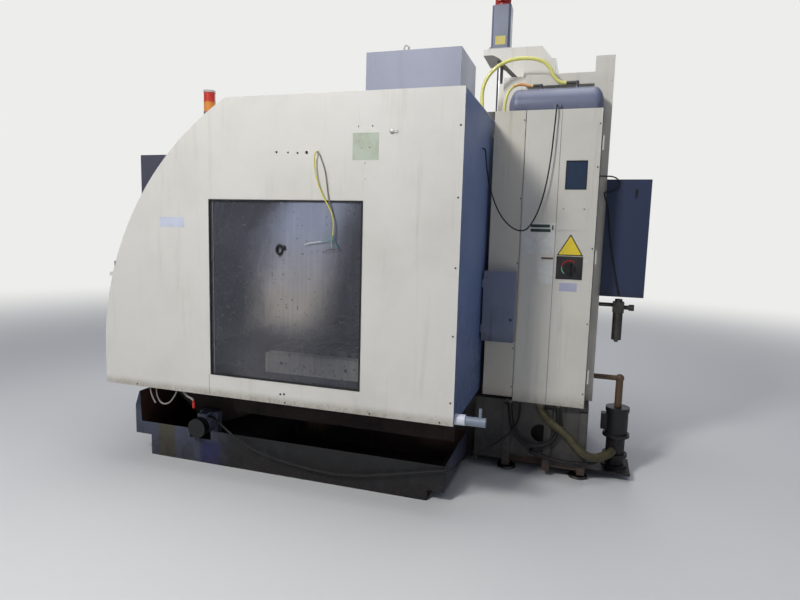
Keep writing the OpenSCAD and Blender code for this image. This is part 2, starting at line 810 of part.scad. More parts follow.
// Head: the slide on the Z ways and the forward body that holds the spindle
module head_casting() {
    hw = head_w / 2;
    y1 = column_y - z_way_depth - slide_gap;
    skirt_x = z_way_pitch / 2 + 45 + slide_gap;
    front_y = spindle_y - 210;
    color("slategrey") difference() {
        union() {
            block(-carriage_w / 2, carriage_w / 2, carriage_y, y1, nose_z, carriage_top_z);
            both_sides()
                block(skirt_x, carriage_w / 2 + 20, y1 - 60, y1 + 30, nose_z, carriage_top_z);
            along_x(-hw, hw) polygon([[carriage_y + eps, nose_z + 60],
                [carriage_y + eps, cover_z], [front_y, cover_z], [front_y, nose_z + 260],
                [front_y + 90, nose_z + 130], [spindle_y + 150, nose_z + 130]]);
            rod_z(nose_z + 40, nose_z + 200, 0, spindle_y, 105);
            rod_z(nose_z + 14, nose_z + 41, 0, spindle_y, 78);
        }
        block(-60, 60, z_screw_y - 50, y1 + eps, nose_z - eps, cover_z - 40);
        block(-60, 60, z_screw_y - 50, y1 + eps, cover_z + 100, carriage_top_z + eps);
        rod_z(nose_z, carriage_top_z + eps, 0, z_screw_y, screw_r + shaft_gap);
        rod_z(nose_z, cover_z + eps, 0, spindle_y, spindle_d / 2 + shaft_gap);
        both_sides() block(hw - 22, hw + eps, spindle_y + 40, carriage_y - 60,
            nose_z + 240, cover_z - 80);
    }
}

module head_cover() {
    hw = head_cover_w / 2;
    color("silver") difference() {
        block(-hw, hw, cover_front_y, cover_rear_y, cover_z, head_cover_top_z);
        block(-hw + sheet_t, hw - sheet_t, cover_front_y + sheet_t, cover_rear_y - sheet_t,
            cover_z + sheet_t, head_cover_top_z - sheet_t);
        rod_z(cover_z - eps, cover_z + 2 * sheet_t, 0, spindle_y, 128);
    }
}

module eye_bolt() {
    z0 = head_cover_top_z;
    ring_r = 17;
    color("dimgrey") translate([head_cover_w / 2 - 60, spindle_y + 20, z0]) {
        cylinder(h = 4, r = 16);
        cylinder(h = 14, r = 7);
        translate([0, 0, 12 + ring_r]) rotate([0, 90, 0])
            rotate_extrude($fn = 48) translate([ring_r, 0]) circle(r = 5, $fn = 24);
    }
}

module spindle_motor() {
    color("dimgrey") {
        rod_z(cover_z, cover_z + 24, 0, spindle_y, 125);
        rod_z(cover_z + 23, cover_z + 400, 0, spindle_y, 108);
        rod_z(cover_z + 399, cover_z + 520, 0, spindle_y, 96);
    }
}

// Spindle with its 7:24 taper, flange and two drive keys
module spindle() {
    color("silver") difference() {
        union() {
            rod_z(nose_z, cover_z - seat, 0, spindle_y, spindle_d / 2);
            for (s = [-1, 1])
                block(s * 36 - 8, s * 36 + 8, spindle_y - 8, spindle_y + 8, nose_z - 8, nose_z + 1);
        }
        translate([0, spindle_y, nose_z - eps])
            cylinder(h = taper_l + eps, r1 = taper_d / 2 + eps * 7 / 48,
                r2 = taper_d / 2 - taper_l * 7 / 48);
        rod_z(nose_z + taper_l - eps, nose_z + taper_l + 200, 0, spindle_y, 8);
    }
}

// Chip auger: one helical flight on a shaft, in the trough
module chip_auger() {
    n = 16;
    steps = n * floor((2 * gearmotor_x - 60) / auger_pitch);
    section = [[9, -6], [9, 6], [auger_r, 6], [auger_r, -6]];
    pts = [for (i = [0 : steps], q = section)
        [q[0] * cos(360 * i / n), q[0] * sin(360 * i / n), q[1] + i * auger_pitch / n]];
    color("dimgrey") {
        rod_x(auger_x0, auger_x1, auger_y, auger_z, auger_shaft_r);
        translate([auger_x0 + 40, auger_y, auger_z]) rotate([0, 90, 0])
            polyhedron(points = pts, faces = swept_faces(steps + 1, 4));
    }
}

module auger_gearmotor() {
    x0 = gearmotor_x;
    color("grey") difference() {
        union() {
            block(x0, x0 + 50, auger_y - 65, auger_y + 65, auger_z - 66, auger_z + 72);
            rod_x(x0 + 49, x0 + 62, auger_y, auger_z, 62);
            rod_x(x0 + 61, x0 + 130, auger_y, auger_z, 54);
            rod_x(x0 + 129, x0 + 178, auger_y, auger_z, 61);
            block(x0 + 66, x0 + 122, auger_y - 30, auger_y + 30, auger_z + 40, auger_z + 78);
            for (a = [0 : 30 : 330])
                translate([x0 + 62, auger_y, auger_z]) rotate([a, 0, 0])
                    translate([0, -2, 50]) cube([67, 4, 9]);
        }
        rod_x(x0 - eps, x0 + 30, auger_y, auger_z, auger_shaft_r + shaft_gap);
    }
}

// Cabinet on the column's side, open towards the door, with its filler strip
module electrical_cabinet() {
    t = sheet_t;
    x1 = body_front_x - seat;
    plate_x = cabinet_back_x + 14;
    color("antiquewhite") {
        difference() {
            block(cabinet_back_x, x1, cabinet_y, cabinet_rear_y, cabinet_z, cabinet_roof_z);
            block(cabinet_back_x + t, x1 + eps, cabinet_y + t, cabinet_rear_y - t,
                cabinet_z + t, cabinet_roof_z - t);
        }
        difference() {
            block(cabinet_x - 30, cabinet_x, filler_y, cabinet_y - seat, cabinet_z + 27,
                cabinet_top_z);
            block(cabinet_x - 31, cabinet_x - t, filler_y + t, cabinet_y, cabinet_z + 27 + t,
                cabinet_top_z + eps);
        }
        block(plate_x, plate_x + t, cabinet_y + t + seat, cabinet_rear_y - t - seat,
            cabinet_z + 60, cabinet_roof_z - 60);
        for (z = [620 : 260 : 1920], k = [0 : 2])
            block(plate_x, plate_x + 90, cabinet_y + 30 + k * 128, cabinet_y + 135 + k * 128,
                z, z + 170);
        block(500, x1, cabinet_y - 36, cabinet_rear_y - 100, cabinet_z - 4, cabinet_z - seat);
        for (g = glands) rod_z(g[0][2], cabinet_z - 2, g[0][0], g[0][1], g[1]);
    }
}

// A folded door leaf: a sheet facing +X with its edges turned in
module leaf_x(x1, y0, y1, z0, z1, depth) {
    difference() {
        block(x1 - depth, x1, y0, y1, z0, z1);
        block(x1 - depth - eps, x1 - sheet_t, y0 + sheet_t, y1 - sheet_t, z0 + sheet_t,
            z1 - sheet_t);
    }
}

module cabinet_door() {
    y0 = cabinet_seam_y + 0.7;
    z0 = cabinet_z + 3;
    color("antiquewhite") difference() {
        union() {
            leaf_x(cabinet_x, y0, cabinet_rear_y, z0, cabinet_top_z, cabinet_door_t);
            block(cabinet_x - eps, cabinet_x + 2, 1180, 1353, 1520, 1652);
            block(cabinet_x - eps, cabinet_x + 4, switch_y - 74, switch_y + 74,
                switch_z - 67, switch_z + 67);
            for (z = [z0 + 150, 1330, cabinet_top_z - 230])
                rod_z(z, z + 80, cabinet_x - 11, cabinet_rear_y + 7.3, 7);
            for (z = [z0 + 150, 1330, cabinet_top_z - 230])
                block(cabinet_x - 14, cabinet_x - 8, cabinet_rear_y - eps,
                    cabinet_rear_y + 4, z, z + 80);
        }
        block(cabinet_x - 1.5, cabinet_x + eps, 1216, 1335, 1754, 1918);
        rod_x(cabinet_x - cabinet_door_t, cabinet_x + 5, switch_y, switch_z, 6 + shaft_gap);
    }
}

module main_switch() {
    color("black") {
        rod_x(cabinet_x - 12, cabinet_x + 6, switch_y, switch_z, 6);
        rod_x(cabinet_x + 4 + seat, cabinet_x + 16, switch_y, switch_z, 32);
        block(cabinet_x + 15, cabinet_x + 34, switch_y - 7, switch_y + 7, switch_z - 31,
            switch_z + 31);
    }
}

module terminal_box() {
    cover_x = cabinet_x + terminal_d - 18;
    color("slategrey") difference() {
        block(cabinet_x, cover_x, terminal_y, terminal_y + terminal_w, terminal_z,
            terminal_z + terminal_h);
        block(cabinet_x + 2, cover_x + eps, terminal_y + 2, terminal_y + terminal_w - 2,
            terminal_z + 2, terminal_z + terminal_h - 2);
    }
}

module terminal_box_cover() {
    x1 = cabinet_x + terminal_d;
    y1 = terminal_y + terminal_w;
    color("slategrey") {
        difference() {
            block(x1 - 18 + seat, x1, terminal_y, y1, terminal_z, terminal_z + terminal_h);
            block(x1 - 19, x1 - 2, terminal_y + 2, y1 - 2, terminal_z + 2,
                terminal_z + terminal_h - 2);
        }
        rod_x(x1 - eps, x1 + 1.2, y1 - 20, terminal_z + 138, 9);
        for (z = [terminal_z + 50, terminal_z + terminal_h - 100]) {
            rod_z(z, z + 50, x1 - 5, terminal_y - 5.3, 5);
            block(x1 - 8, x1 - 2, terminal_y - 4, terminal_y + eps, z, z + 50);
        }
    }
}

// Trunking: an upright duct behind the cabinet and a level one at its top
module cable_duct() {
    x0 = column_w / 2;
    x1 = air_tank_x - air_tank_r - 3;
    y1 = column_rear_y;
    color("antiquewhite") {
        block(x0, x1, y1 - 108, y1, bed_top_z, column_top_z + 90);
        block(x0, x1, column_y + 140, y1 - 107, column_top_z - 66, column_top_z);
        for (p = [[y1 - 92, column_top_z + 64], [y1 - 14, column_top_z + 64],
                  [y1 - 14, column_top_z - 50]])
            rod_x(x1 - 1, x1 + 3, p[0], p[1], 6);
    }
}

// Pressed steel air tank with rounded ends, two feet, a boss and two pipe bends
module air_tank() {
    r = air_tank_r;
    dome = 55;
    l = air_tank_l / 2;
    big_y = 1245 - air_tank_y;
    small_y = 1040 - air_tank_y;
    color("slategrey") translate([air_tank_x, air_tank_y, air_tank_z]) {
        rotate([90, 0, 0]) rotate_extrude($fn = 64) polygon(concat(
            [[0, -l], [0, l]],
            [for (a = [75 : -15 : 0]) [r * cos(a), l - dome + dome * sin(a)]],
            [for (a = [0 : -15 : -75]) [r * cos(a), -l + dome + dome * sin(a)]]));
        for (s = [-1, 1]) {
            translate([0, s * (l - dome - 15), 0]) rotate([90, 0, 0])
                cylinder(h = 8, r = r + 2, center = true);
            translate([-45, s * (l - 130) - 15, -r - 5]) cube([90, 30, 45]);
        }
        rod_x(r - 8, r + 12, 15, -20, 22);
        rod_z(r - 6, r + 30, 0, big_y, 11);
        rod_y(big_y - 60, big_y, 0, r + 30, 11);
        translate([0, big_y, r + 30]) sphere(r = 13);
        rod_z(r - 6, r + 22, 0, small_y, 9);
        rod_y(small_y - 45, small_y, 0, r + 22, 9);
        translate([0, small_y, r + 22]) sphere(r = 10.5);
    }
}

module rear_cabinet() {
    t = sheet_t;
    hw = rear_cabinet_w / 2;
    y1 = back_y - cabinet_door_t - seat;
    z1 = rear_cabinet_z + rear_cabinet_h;
    color("darkslateblue") {
        difference() {
            block(-hw, hw, rear_cabinet_y, y1, rear_cabinet_z, z1);
            block(-hw + t, hw - t, rear_cabinet_y + t, y1 + eps, rear_cabinet_z + t, z1 - t);
            block(hw - 2, hw + eps, rear_cabinet_y + 165, rear_cabinet_y + 181, z1 - 95, z1 - 55);
        }
        block(-hw + t, hw - t, rear_cabinet_y + 20, rear_cabinet_y + 23, rear_cabinet_z + 50,
            z1 - 50);
        for (x = [-260, -80, 100], z = [1210, 1510])
            block(x, x + 140, rear_cabinet_y + 20, rear_cabinet_y + 110, z, z + 210);
    }
}

module rear_cabinet_door() {
    hw = rear_cabinet_w / 2;
    y0 = back_y - cabinet_door_t;
    z1 = rear_cabinet_z + rear_cabinet_h;
    color("darkslateblue") difference() {
        union() {
            difference() {
                block(-hw, hw, y0, back_y, rear_cabinet_z, z1);
                block(-hw + sheet_t, hw - sheet_t, y0 - eps, back_y - sheet_t,
                    rear_cabinet_z + sheet_t, z1 - sheet_t);
            }
            for (z = [rear_cabinet_z + 80, z1 - 160]) {
                rod_z(z, z + 80, -hw - 7.3, y0 + 11, 7);
                block(-hw - 4, -hw + eps, y0 + 8, y0 + 14, z, z + 80);
            }
        }
        block(hw - 60, hw - 36, back_y - 1.5, back_y + eps, 1450, 1570);
    }
}

// Filter and regulator on a pipe from the column's rear
module air_filter() {
    x = column_w / 2;
    y = column_rear_y + 115;
    color("dimgrey") {
        block(x - 34, x + 34, y - 32, y + 32, 1030, 1095);
        rod_z(1094, 1112, x, y, 22);
        rod_z(860, 1031, x, y, 29);
        rod_z(846, 861, x, y, 12);
        rod_y(column_rear_y, y - 30, x - 20, 1072, 12);
        rod_y(y + 30, y + 86, x, 1062, 13);
        rod_y(y + 60, y + 90, x, 1062, 19);
    }
}

// Upright coolant pump on its shelf, with the pipe to the bed
module coolant_pump() {
    x = column_w / 2;
    y = column_rear_y + 155;
    color("dimgrey") {
        block(x - 130, x + 130, bed_rear_y, y + 90, bed_z + 4, bed_z + 16);
        rod_z(bed_z + 15, 70, x, y, 78);
        rod_z(69, 250, x, y, 56);
        rod_z(249, 268, x, y, 80);
        rod_z(267, 410, x, y, 66);
        rod_z(409, 436, x, y, 71);
        block(x - 30, x + 30, y - 95, y - 50, 290, 390);
        rod_z(120, 140, x, y, 74);
        rod_z(435, 618, x, y, 22);
        rod_y(column_rear_y, y, x, 618, 16);
        translate([x, y, 618]) sphere(r = 26);
        rod_between([x, y, 168], coolant_hose_route[len(coolant_hose_route) - 1], 22);
        tube_along(return_pipe, 12, 12, [0, 1, 0]);
    }
}

// Plastic drain stub at the enclosure's lower rear corner
module drain_pipe() {
    x = half_w - 50;
    z = panel_bottom_z + 25;
    color("whitesmoke") difference() {
        union() {
            rod_y(rear_y, rear_y + 55, x, z, 28);
            rod_y(rear_y + 54, rear_y + 158, x, z - 2, 24);
            rod_z(z, z + 68, x, rear_y + 128, 8);
        }
        rod_y(rear_y + 60, rear_y + 159, x, z - 2, 21);
    }
}

module signal_tower() {
    x = half_w - 540;
    y = arc_y - 1320;
    z = front_centre_z + sqrt(pow(shell_r, 2) - pow(y - arc_y, 2));
    color("orangered") {
        difference() {
            rod_z(z - 66, z + 94, x, y, 26);
            along_x(x - 40, x + 40) translate([arc_y, front_centre_z])
                circle(r = shell_r, $fn = round_fn);
        }
        rod_z(z + 93, z + 434, x, y, 12);
        rod_z(z + 433, z + 460, x, y, 38);
        rod_z(z + 459, z + 579, x, y, 36);
        rod_z(z + 519, z + 522, x, y, 38);
        rod_z(z + 578, z + 592, x, y, 38);
    }
}

magazine_x = -carousel_park;
beam_y = carriage_y + 100;
beam_z = 1690;
rail_y = beam_y - 46;
rail_r = 12;

// Beam on the column's left side that the magazine runs along
module magazine_beam() {
    x0 = -half_w + 120;
    x1 = -column_w / 2;
    color("slategrey") {
        block(x1 - 42, x1, beam_y - 58, column_y + 200, beam_z - 60, beam_z + 60);
        block(x0, x1 - 1, beam_y - 30, beam_y + 30, beam_z - 20, beam_z + 20);
        for (s = [-1, 1]) rod_x(x0, x1 - 20, rail_y, beam_z + s * 34, rail_r);
        block(x0, x0 + 20, beam_y - 58, beam_y + 30, beam_z - 55, beam_z + 55);
    }
}

// Carriage on the beam's two rails, with an arm that reaches forward over the carousel
module magazine_carriage() {
    x = magazine_x;
    block_y = beam_y - 30 - seat;
    arm_plan = [[-36, 60], [36, 60], [36, 440], [-70, 530], [-100, 590], [-270, 590],
        [-270, 500], [-36, 390]];
    color("grey") difference() {
        union() {
            block(x - 270, x - 100, beam_y - 72, block_y, beam_z - 60, beam_z + 60);
            translate([x, 0, beam_z - 60]) linear_extrude(height = 70) polygon(arm_plan);
            rod_z(beam_z - 80, beam_z + 10, x, spindle_y, 60);
            rod_z(beam_z + 9, beam_z + 120, x, spindle_y, 48);
        }
        for (s = [-1, 1])
            rod_x(x - 271, x - 99, rail_y, beam_z + s * 34, rail_r + shaft_gap);
        rod_z(beam_z - 81, beam_z - 30, x, spindle_y, 20 + shaft_gap);
    }
}

// Carousel plate: each pocket is a grip open at the rim, between two rounded prongs
module magazine_carousel() {
    rim = pocket_r + 24;
    step = 360 / pockets;
    color("dimgrey") translate([magazine_x, spindle_y, 0]) {
        translate([0, 0, carousel_z]) linear_extrude(height = carousel_t) difference() {
            circle(r = rim, $fn = 96);
            for (i = [0 : pockets - 1]) rotate([0, 0, i * step]) {
                translate([pocket_r, 0]) circle(r = grip_d / 2);
                translate([pocket_r, -grip_d / 2 + 6]) square([60, grip_d - 12]);
                rotate([0, 0, step / 2]) translate([rim, 0]) circle(r = 26);
                rotate([0, 0, step / 2]) translate([pocket_r * 0.62, 0]) circle(r = 20);
            }
        }
        rod_z(carousel_z + carousel_t - eps, carousel_z + carousel_t + 60, 0, 0, 95);
        rod_z(carousel_z + carousel_t + 59, beam_z - 80 - seat, 0, 0, 40);
        rod_z(beam_z - 82, beam_z - 31, 0, 0, 20);
        for (i = [0 : pockets - 1]) rotate([0, 0, i * step]) {
            translate([pocket_r - 62, -9, carousel_z + carousel_t - eps]) cube([26, 18, 19]);
            translate([pocket_r - 49, 0, carousel_z + carousel_t]) cylinder(h = 20, r = 5);
        }
    }
}

module pendant_arm() {
    z = hub_z + hub_h / 2;
    color("grey") difference() {
        union() {
            rod_z(hub_z, hub_z + hub_h, pivot_x, arm_y, 38);
            rod_x(pendant_x, pivot_x, arm_y, z, 22);
            rod_z(z, pendant_z, pendant_x, arm_y, 22);
            translate([pendant_x, arm_y, z]) sphere(r = 22);
            rod_z(pendant_z - 10, pendant_z, pendant_x, arm_y, 45);
        }
        rod_z(hub_z - eps, hub_z + hub_h + eps, pivot_x, arm_y, pivot_r + shaft_gap);
    }
}

screen_w = 300;
screen_h = 230;
screen_z = pendant_z + pendant_h - 170;
stop_x = pendant_x + 130;
stop_z = pendant_z + 70;
button_z = pendant_z + 70;
start_x = pendant_x - 20;
hold_x = pendant_x + 40;
knob_x = pendant_x + 130;
knob_z = pendant_z + 160;
wheel_x = pendant_x - 120;
wheel_z = pendant_z + 90;

module bore_in_face(x, z, r, depth) {
    rod_y(pendant_face_y - eps, pendant_face_y + depth, x, z, r + shaft_gap);
}

module pendant_box() {
    color("dimgrey") difference() {
        translate([pendant_x, (pendant_face_y + pendant_back_y) / 2, pendant_z])
            linear_extrude(height = pendant_h) rounded_rect(pendant_w, pendant_d, 18);
        block(pendant_x - screen_w / 2, pendant_x + screen_w / 2, pendant_face_y - eps,
            pendant_face_y + 6, screen_z - screen_h / 2, screen_z + screen_h / 2);
        block(pendant_x - screen_w / 2 - 20, pendant_x + screen_w / 2 + 20,
            pendant_face_y - eps, pendant_face_y + 1.5, pendant_z + 225, screen_z - screen_h / 2 - 25);
        bore_in_face(stop_x, stop_z, 11, 30);
        bore_in_face(start_x, button_z, 15, 22);
        bore_in_face(hold_x, button_z, 15, 22);
        bore_in_face(knob_x, knob_z, 4, 20);
        bore_in_face(wheel_x, wheel_z, 6, 25);
    }
}

module pendant_screen() {
    color("darkslategrey")
        block(pendant_x - screen_w / 2 + seat, pendant_x + screen_w / 2 - seat,
            pendant_face_y + 0.5, pendant_face_y + 6, screen_z - screen_h / 2 + seat,
            screen_z + screen_h / 2 - seat);
}

module emergency_stop() {
    color("red") {
        rod_y(pendant_face_y - 10, pendant_face_y + 22, stop_x, stop_z, 11);
        rod_y(pendant_face_y - control_reach, pendant_face_y - 9, stop_x, stop_z, 20);
    }
}

module push_button(x) {
    rod_y(pendant_face_y - 10, pendant_face_y + 16, x, button_z, 15);
}

module cycle_start_button() {
    color("seagreen") push_button(start_x);
}

module feed_hold_button() {
    color("goldenrod") push_button(hold_x);
}

module override_knob() {
    color("black") {
        rod_y(pendant_face_y - 20, pendant_face_y - seat, knob_x, knob_z, 18);
        rod_y(pendant_face_y - 1, pendant_face_y + 18, knob_x, knob_z, 4);
        block(knob_x - 2.5, knob_x + 2.5, pendant_face_y - 22, pendant_face_y - 19,
            knob_z, knob_z + 16);
    }
}

module handwheel() {
    color("black") {
        rod_y(pendant_face_y - 14, pendant_face_y - seat, wheel_x, wheel_z, 42);
        rod_y(pendant_face_y - 1, pendant_face_y + 23, wheel_x, wheel_z, 6);
        rod_y(pendant_face_y - control_reach, pendant_face_y - 13, wheel_x + 28, wheel_z, 7);
    }
}

// Cable, hose and pipe routes, each a list of points from one end to the other
panel_holes = [[-233, 1889, 6], [-165, 1885, 5], [-109, 1882, 6], [-57, 1884, 8],
    [230, 2008, 4], [306, 2008, 4], [247, 1902, 3], [292, 1904, 3], [268, 1827, 3],
    [271, 1748, 3]];
panel_cable_route = [[1303, 5, 1888], [1306, 5, 1888], [1313, 4, 1886], [1317, 3, 1881],
    [1319, 1, 1873], [1319, -3, 1855], [1318, -3, 1830], [1317, 0, 1800],
    [1316, 6, 1765], [1315, 18, 1722], [1315, 36, 1680], [1315, 58, 1640],
    [1316, 80, 1606], [1316, 97, 1572], [1316, 106, 1535], [1316, 107, 1500],
    [1316, 104, 1460]];
loop_cable_route = [[790, 770, 1960], [790, 777, 1960], [788, 786, 1950], [784, 789, 1925],
    [770, 792, 1880], [745, 798, 1820], [715, 810, 1750], [680, 830, 1680],
    [650, 858, 1615], [628, 895, 1562], [615, 940, 1525], [608, 985, 1512],
    [604, 1022, 1528], [602, 1055, 1580], [600, 1083, 1650], [598, 1105, 1740],
    [596, 1122, 1850], [594, 1133, 1960], [592, 1140, 2080], [589, 1145, 2175],
    [583, 1147, 2212], [572, 1147, 2228], [559, 1147, 2231], [547, 1147, 2231]];
base_cable_route = [[1044, -865, 291], [1044, -853, 291], [1052, -828, 290], [1066, -795, 284],
    [1082, -750, 268], [1098, -690, 238], [1108, -610, 196], [1114, -530, 160],
    [1117, -440, 132], [1118, -350, 114], [1118, -255, 100], [1118, -150, 89],
    [1118, -55, 81], [1118, 50, 81], [1118, 145, 90], [1118, 250, 106],
    [1118, 350, 126], [1117, 435, 145], [1116, 530, 165], [1113, 620, 185],
    [1103, 702, 198], [1050, 738, 204], [960, 745, 200], [860, 750, 180],
    [760, 762, 155], [670, 790, 142], [612, 845, 165], [582, 900, 200],
    [570, 950, 243], [562, 985, 283], [552, 1010, 322], [538, 1022, 362],
    [526, 1025, 402], [520, 1025, 436], [520, 1025, 456]];
u_hose_route = [[530, 964, 456], [530, 964, 440], [532, 967, 410], [533, 972, 370],
    [534, 981, 325], [535, 1000, 275], [536, 1030, 230], [537, 1075, 202],
    [537, 1125, 196], [536, 1175, 208], [535, 1218, 235], [534, 1246, 275],
    [533, 1257, 322], [532, 1257, 375], [530, 1253, 415], [530, 1252, 441], [530, 1252, 456]];
coolant_hose_route = [[530, 1148, 456], [530, 1148, 446], [536, 1154, 425], [549, 1173, 402],
    [564, 1204, 378], [577, 1240, 354], [583, 1283, 328], [583, 1325, 290], [578, 1362, 248],
    [570, 1396, 214], [560, 1428, 190], [546, 1460, 175], [524, 1490, 169], [496, 1517, 168],
    [462, 1543, 168], [428, 1563, 168], [396, 1577, 168], [372, 1584, 168]];
big_hose_route = [[437, 700, 2186], [437, 700, 2198], [437, 697, 2240], [437, 692, 2295],
    [437, 692, 2350], [437, 706, 2405], [437, 738, 2456], [437, 790, 2500],
    [437, 860, 2526], [437, 940, 2531], [437, 1010, 2520], [437, 1055, 2500],
    [437, 1088, 2465], [436, 1106, 2430], [435, 1128, 2399], [435, 1152, 2383],
    [435, 1173, 2378], [435, 1185, 2378]];
small_hose_route = [[437, 770, 2080], [437, 782, 2080], [437, 802, 2086], [437, 819, 2100],
    [437, 829, 2122], [437, 832, 2155], [437, 832, 2205], [437, 833, 2255],
    [437, 838, 2300], [437, 853, 2343], [437, 880, 2371], [436, 915, 2382],
    [435, 950, 2377], [435, 970, 2371], [435, 983, 2370], [435, 995, 2370]];

return_pipe = [[500, 1105, 155], [518, 1105, 155], [531, 1112, 154], [536, 1130, 151],
    [536, 1216, 128], [536, 1300, 120], [534, 1400, 122], [524, 1445, 124],
    [495, 1476, 124], [430, 1510, 122], [300, 1605, 120]];

// Glands under the cabinet: where each hose or cable ends, and the gland's radius
glands = [[u_hose_route[0], 17], [u_hose_route[len(u_hose_route) - 1], 17],
    [coolant_hose_route[0], 29], [base_cable_route[len(base_cable_route) - 1], 9]];

// Unit direction of a route at point i
function heading(p, i) =
    let (a = p[max(i - 1, 0)], b = p[min(i + 1, len(p) - 1)], d = b - a) d / norm(d);

// A direction square to d that turns as little as possible from s
function carry(s, d) = let (t = s - (s * d) * d) t / norm(t);

function frames(p, i, s) = i >= len(p) ? [] :
    let (d = heading(p, i), t = carry(s, d)) concat([[t, cross(d, t)]], frames(p, i + 1, t));

// Faces of a body swept through m rings of n points each
function swept_faces(m, n) = concat(
    [[for (k = [0 : n - 1]) k]],
    [for (i = [0 : m - 2], k = [0 : n - 1])
        [i * n + k, (i + 1) * n + (k + 1) % n, i * n + (k + 1) % n]],
    [for (i = [0 : m - 2], k = [0 : n - 1])
        [i * n + k, (i + 1) * n + k, (i + 1) * n + (k + 1) % n]],
    [[for (k = [n - 1 : -1 : 0]) (m - 1) * n + k]]);

// A tube of radius r along a route, with n sides
module tube_along(p, r, n, side) {
    f = frames(p, 0, side);
    m = len(p);
    pts = [for (i = [0 : m - 1], k = [0 : n - 1])
        p[i] + r * (cos(360 * k / n) * f[i][0] + sin(360 * k / n) * f[i][1])];
    polyhedron(points = pts, faces = swept_faces(m, n));
}

module panel_cable() {
    color("yellow") tube_along(panel_cable_route, 3.5, 8, [0, 1, 0]);
}

module loop_cable() {
    color("black") tube_along(loop_cable_route, 4, 8, [1, 0, 0]);
}

module base_cable() {
    color("black") tube_along(base_cable_route, 6, 8, [1, 0, 0]);
}

module u_hose() {
    color("black") tube_along(u_hose_route, 13, 10, [0, 1, 0]);
}

module coolant_hose() {
    color("darkkhaki") tube_along(coolant_hose_route, 26, 12, [1, 0, 0]);
}

module tank_hose_large() {
    color("khaki") tube_along(big_hose_route, 11, 10, [1, 0, 0]);
}

module tank_hose_small() {
    color("khaki") tube_along(small_hose_route, 8, 10, [1, 0, 0]);
}

// Places of the upright ribs on the bed's rear sides
rear_rib_y = [927, 1176, 1382];

bed_casting();
levelling_feet();
coolant_tank();
inner_chutes();
auger_gearmotor();
chip_auger();
column();
feed_motors();
motor_caps();
side_panel_right();
side_panel_left();
roof_panel();
rear_panels();
front_shell();
side_glass();
front_door();
door_glass();
electrical_cabinet();
cabinet_door();
main_switch();
terminal_box();
terminal_box_cover();
cable_duct();
air_tank();
tank_hose_large();
tank_hose_small();
rear_cabinet();
rear_cabinet_door();
air_filter();
coolant_pump();
drain_pipe();
signal_tower();
magazine_beam();
magazine_carriage();
magazine_carousel();
saddle();
x_servomotor();
x_ballscrew();
y_ballscrew();
z_ballscrew();
table();
table_end_covers();
head_casting();
head_cover();
eye_bolt();
spindle_motor();
spindle();
pendant_arm();
pendant_box();
pendant_screen();
emergency_stop();
cycle_start_button();
feed_hold_button();
override_knob();
handwheel();
panel_cable();
loop_cable();
base_cable();
u_hose();
coolant_hose();
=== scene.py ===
import json
import math

import bpy
from mathutils import Matrix, Vector


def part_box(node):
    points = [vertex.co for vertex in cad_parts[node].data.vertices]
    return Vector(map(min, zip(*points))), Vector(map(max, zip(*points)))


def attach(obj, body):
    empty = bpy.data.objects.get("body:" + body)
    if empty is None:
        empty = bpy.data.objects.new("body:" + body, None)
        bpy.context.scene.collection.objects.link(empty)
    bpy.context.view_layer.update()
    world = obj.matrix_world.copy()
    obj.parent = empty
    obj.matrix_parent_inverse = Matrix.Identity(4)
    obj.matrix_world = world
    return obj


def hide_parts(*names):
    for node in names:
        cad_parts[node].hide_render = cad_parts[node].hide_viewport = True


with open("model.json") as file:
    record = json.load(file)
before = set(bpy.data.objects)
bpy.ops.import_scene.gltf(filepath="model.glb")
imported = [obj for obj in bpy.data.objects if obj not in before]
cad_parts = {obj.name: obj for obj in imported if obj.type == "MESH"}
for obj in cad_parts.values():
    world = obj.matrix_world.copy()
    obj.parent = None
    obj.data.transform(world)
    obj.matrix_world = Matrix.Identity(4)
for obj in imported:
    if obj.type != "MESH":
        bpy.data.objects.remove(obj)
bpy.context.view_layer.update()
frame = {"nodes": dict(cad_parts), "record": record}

bl_info = {
    "name": "CNC machining center looks",
    "version": (1, 0, 0),
    "blender": (4, 5, 0),
    "location": "3D View > Sidebar > Machining Center",
    "description": "Finishes, cables and small parts of a vertical machining center",
    "category": "Object"}

# The photograph's camera: its place in metres, yaw, pitch and roll in degrees, lens in millimetres
CAMERA_PLACE = (4.07, 1.35, 1.50)
CAMERA_TURN = (17.58, 6.95, -1.53)
CAMERA_LENS = 26.0
# The planes that the small parts stand on, in millimetres: the cabinet's face and the side panel's
CABINET_FACE = 560
PANEL_FACE = 1300
# Routes of the cables and hoses, the same points as the solids', in millimetres
PANEL_CABLE = [(1303, 5, 1888), (1306, 5, 1888), (1313, 4, 1886), (1317, 3, 1881), (1319, 1, 1873),
        (1319, -3, 1855), (1318, -3, 1830), (1317, 0, 1800), (1316, 6, 1765), (1315, 18, 1722),
        (1315, 36, 1680), (1315, 58, 1640), (1316, 80, 1606), (1316, 97, 1572), (1316, 106, 1535),
        (1316, 107, 1500), (1316, 104, 1460)]
LOOP_CABLE = [(790, 770, 1960), (790, 777, 1960), (788, 786, 1950), (784, 789, 1925), (770, 792, 1880),
        (745, 798, 1820), (715, 810, 1750), (680, 830, 1680), (650, 858, 1615), (628, 895, 1562),
        (615, 940, 1525), (608, 985, 1512), (604, 1022, 1528), (602, 1055, 1580), (600, 1083, 1650),
        (598, 1105, 1740), (596, 1122, 1850), (594, 1133, 1960), (592, 1140, 2080), (589, 1145, 2175),
        (583, 1147, 2212), (572, 1147, 2228), (559, 1147, 2231), (547, 1147, 2231)]
